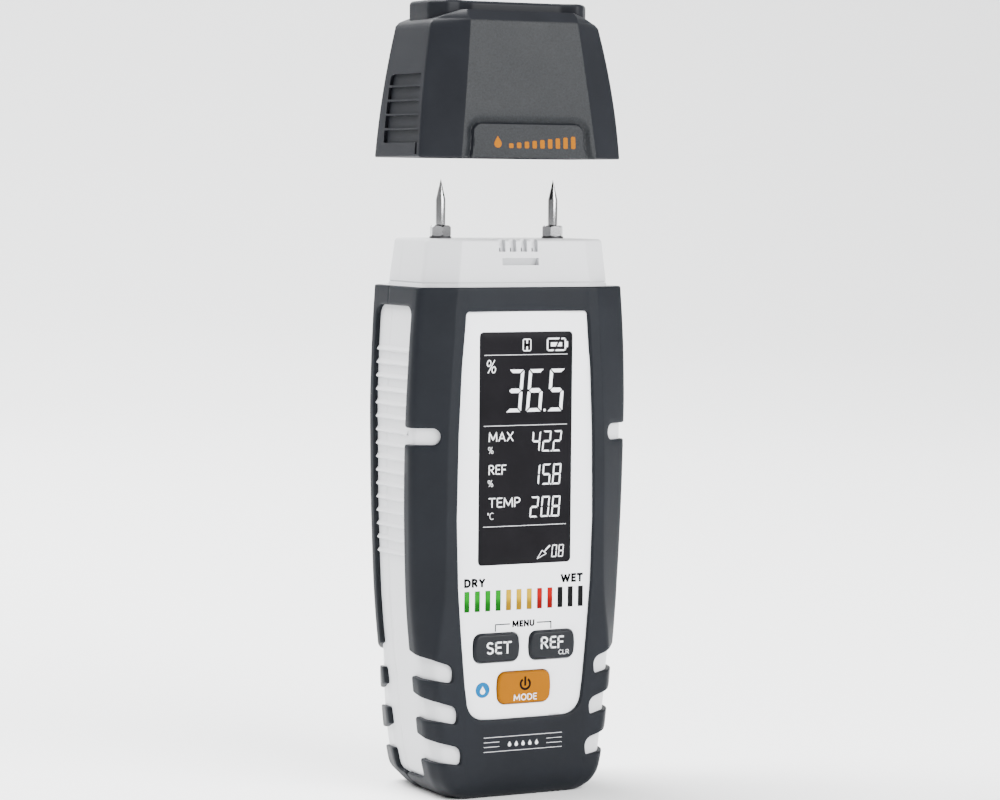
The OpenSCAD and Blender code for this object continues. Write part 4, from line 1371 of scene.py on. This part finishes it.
def build_cap():
    edge = [(0.0, 0.28), (0.08, 0.12), (0.28, 0.0)]
    levels = edge + [(h, 0.0) for h in np.arange(0.55, 10.2, 0.27)]
    levels += [(h, 0.0) for h in (11.5, 13, 15, 17, 19, 21, 23, 25, 27, 28.5, 30, 31, 31.5, 31.9, 32.05,
                                  CAP_EDGE + 0.1,
                                  32.5, 33, 33.7, 34.2, 34.4)]
    shell = loft("cap_shell", [cap_ring(h, inset, True) for h, inset in levels], 26)
    hollow = ((-0.01, -0.1), (0.25, 0), (6, 0), (12, 0), (18, 0), (24, 0), (28, 0), (28.7, 0.3), (29, 1.0))
    inner = loft("cap_inner", [cap_ring(h, CAP_WALL + extra) for h, extra in hollow])
    cutters = [inner]
    for side in (-1, 1):
        marks = [154.0, *CAP_RIBS, 170.1]
        for i, (z0, z1) in enumerate(zip(marks, marks[1:])):
            z0 += 0.24 if i else 0
            z1 -= 0.24 if i < len(marks) - 2 else 0
            rear_top = 2.4 if i == len(marks) - 2 else 0.25
            cutters.append(side_pocket(f"grip_{side}_{i}", side, -10.6, 7.8, z0, z1, 0.75, rear_top))
        cutters.append(side_pocket(f"line_{side}", side, -9.9, -9.65, CAP_Z + 0.6, 154.4, 0.3, 0.1))
    carve(shell, *cutters)
    plan = rounded_loop(CROWN_PLAN, 1.2, 7)
    crown_steps = [(CAP_Z + 30.4, 0.25), (CAP_Z + 30.9, 0.0), (CAP_TOP - 1.0, 0.0)]
    crown_steps += quarter_round(CAP_TOP - 1.0, 1.0, 5)
    crown = loft("crown", [[(x, y, z) for x, y in offset_loop(plan, inset)] for z, inset in crown_steps], 40)
    cap = joined("cap_shell", shell, crown)
    dress(cap, CAP_SIDE, "cap", "cap_plastic", "cap_shell")
    cap.data.materials.append(CAP)
    for face in cap.data.polygons:
        x, y, z = face.center / MM
        if face.normal.y < -0.7 and y < -13.0 and abs(x) < float(cap_sizes(z - CAP_Z)[1]) and z < CAP_Z + CAP_EDGE:
            face.material_index = 1
    front = lambda x, z: -cap_sizes(np.asarray(z) - CAP_Z)[3]
    marks = droplet(-8.3, 153.9, 0.95)
    for i in range(9):
        x, top = -5.4 + 2.05 * i, 154.0 + 0.22 * i
        marks += [rounded_loop(rectangle(x, x + 1.15, 152.9, top, 0.3), 1.0, 4)]
    dress(plate("cap_mark", marks, front), PRINT_ORANGE, "cap", "cap_plastic")


# ---------------------------------------------------------------- battery cover

def build_cover():
    low, high = cad_box("battery_cover")
    loop = rounded_loop(rectangle(low[0], high[0], low[2], high[2], 3.0), 1.5, 8)
    outer, edge = high[1], 0.45
    steps = [(outer - 1.0, 0.0), (outer - edge, 0.0)]
    steps += quarter_round(outer - edge, edge, 4)
    cover = loft("battery_cover", [ring_at(offset_loop(loop, inset), y) for y, inset in steps], 40)
    cutters = []
    for i in range(3):
        z, half = high[2] - 6 - i * 2.4, 7 - i * 1.5
        groove = rounded_loop(rectangle(-half, half, z - 0.6, z + 0.6, 0.55), 1.0, 6)
        cutters.append(loft(f"thumb_{i}", [ring_at(offset_loop(groove, 0.25), outer - 0.5),
                                           ring_at(groove, outer - 0.15),
                                           ring_at(groove, outer + 0.5)]))
    carve(cover, *cutters)
    plug_loop = rounded_loop(rectangle(low[0] + 1.1, high[0] - 1.1, low[2] + 2.5, high[2] - 2.5, 0.6), 2.0, 4)
    plug = loft("cover_plug", [ring_at(plug_loop, low[1]), ring_at(plug_loop, outer - 0.9)])
    dress(joined("battery_cover", cover, plug), SKIN, "bay_cover", "soft_skin", "battery_cover")


# ---------------------------------------------------------------- inner pieces kept from the frame

INNER_LOOKS = (
    (GREY, ("lcd_holder",)), (LCD, ("lcd_panel",)), (MILKY, ("lcd_backlight", "indicator_leds", "humidity_sensor")),
    (RUBBER, ("lcd_connector",)), (BOARD, ("main_board", "sensor_board")),
    (BLACK, ("main_chip", "socket_bushings")),
    (NICKEL, ("tact_switches", "battery_plates")), (BRASS, ("electrode_sockets", "socket_leads")),
    (CELL, ("battery_left", "battery_middle", "battery_right")), (STEEL, ("battery_springs",)),
    (ZINC, ("housing_screws", "board_screws")),
)


def finish_inner_nodes():
    for mat, names in INNER_LOOKS:
        for name in names:
            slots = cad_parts[name].data.materials
            slots.clear()
            slots.append(mat)


# ---------------------------------------------------------------- stage, light and camera

def build_stage():
    """A pale floor that curves up into a backdrop behind the object."""
    near, far, bend, top, half = -4.0, 2.4, 1.2, 4.0, 5.0
    path = [(near, 0.0), (far - bend, 0.0)]
    path += [(far - bend + bend * math.sin(a), bend - bend * math.cos(a)) for a in np.radians(np.linspace(6, 84,
                                                                                                          14))]
    path += [(far, bend), (far, top)]
    turn = math.radians(-27)
    verts, faces = [], []
    for y, z in path:
        for x in (-half, half):
            verts.append((x * math.cos(turn) - y * math.sin(turn), x * math.sin(turn) + y * math.cos(turn), z))
    for i in range(len(path) - 1):
        faces.append((2 * i, 2 * i + 1, 2 * i + 3, 2 * i + 2))
    mesh = bpy.data.meshes.new("floor")
    mesh.from_pydata(verts, [], faces)
    mesh.shade_smooth()
    floor = bpy.data.objects.new("floor", mesh)
    bpy.context.scene.collection.objects.link(floor)
    mesh.materials.append(material("pale_floor", (0.93, 0.935, 0.94), 0.8, speck=0.004, cloud_scale=3))
    world = bpy.data.worlds.new("studio")
    world.use_nodes = True
    world.node_tree.nodes["Background"].inputs["Color"].default_value = (1, 1, 1, 1)
    world.node_tree.nodes["Background"].inputs["Strength"].default_value = 0.42
    bpy.context.scene.world = world


def area_light(name, azimuth, elevation, distance, size, power):
    """A soft square light that looks at the object's middle; azimuth as seen from above, 0 in front."""
    a, e = math.radians(azimuth), math.radians(elevation)
    middle = Vector((0, 0, 0.095))
    spot = middle + distance * Vector((math.sin(a) * math.cos(e), -math.cos(a) * math.cos(e), math.sin(e)))
    data = bpy.data.lights.new(name, "AREA")
    data.shape = "RECTANGLE"
    data.size, data.size_y = size, size
    data.energy = power
    light = bpy.data.objects.new(name, data)
    light.location = spot
    light.rotation_euler = (middle - spot).to_track_quat("-Z", "Y").to_euler()
    bpy.context.scene.collection.objects.link(light)


def build_lights():
    area_light("key", 19, 28, 1.3, 0.9, 40)
    area_light("fill_left", -122, 40, 1.3, 0.6, 12)
    area_light("back_right", 150, 20, 1.4, 0.8, 2)
    area_light("backdrop_wash", -150, 60, 2.0, 1.5, 160)


def build_camera():
    azimuth, elevation, roll = math.radians(-27.14), math.radians(3.82), math.radians(0.51)
    distance, height, slide = 0.7676, 0.09293, 0.00109
    back = Vector((math.sin(azimuth) * math.cos(elevation), -math.cos(azimuth) * math.cos(elevation),
                   math.sin(elevation)))
    across = Vector((0, 0, 1)).cross(back).normalized()
    up = back.cross(across)
    tilted_across = math.cos(roll) * across + math.sin(roll) * up
    tilted_up = -math.sin(roll) * across + math.cos(roll) * up
    data = bpy.data.cameras.new("camera")
    data.lens = 36 * 3.206
    data.clip_start = 0.01
    camera = bpy.data.objects.new("camera", data)
    turn = Matrix((tilted_across, tilted_up, back)).transposed()
    camera.matrix_world = Matrix.Translation(Vector((0, 0, height)) + back * distance + tilted_across * slide) \
        @ turn.to_4x4()
    bpy.context.scene.collection.objects.link(camera)
    bpy.context.scene.camera = camera


build_stage()
build_lights()
build_camera()
build_skins()
build_shells()
build_front()
build_keys()
build_prints()
build_pins()
build_cap()
build_cover()
finish_inner_nodes()
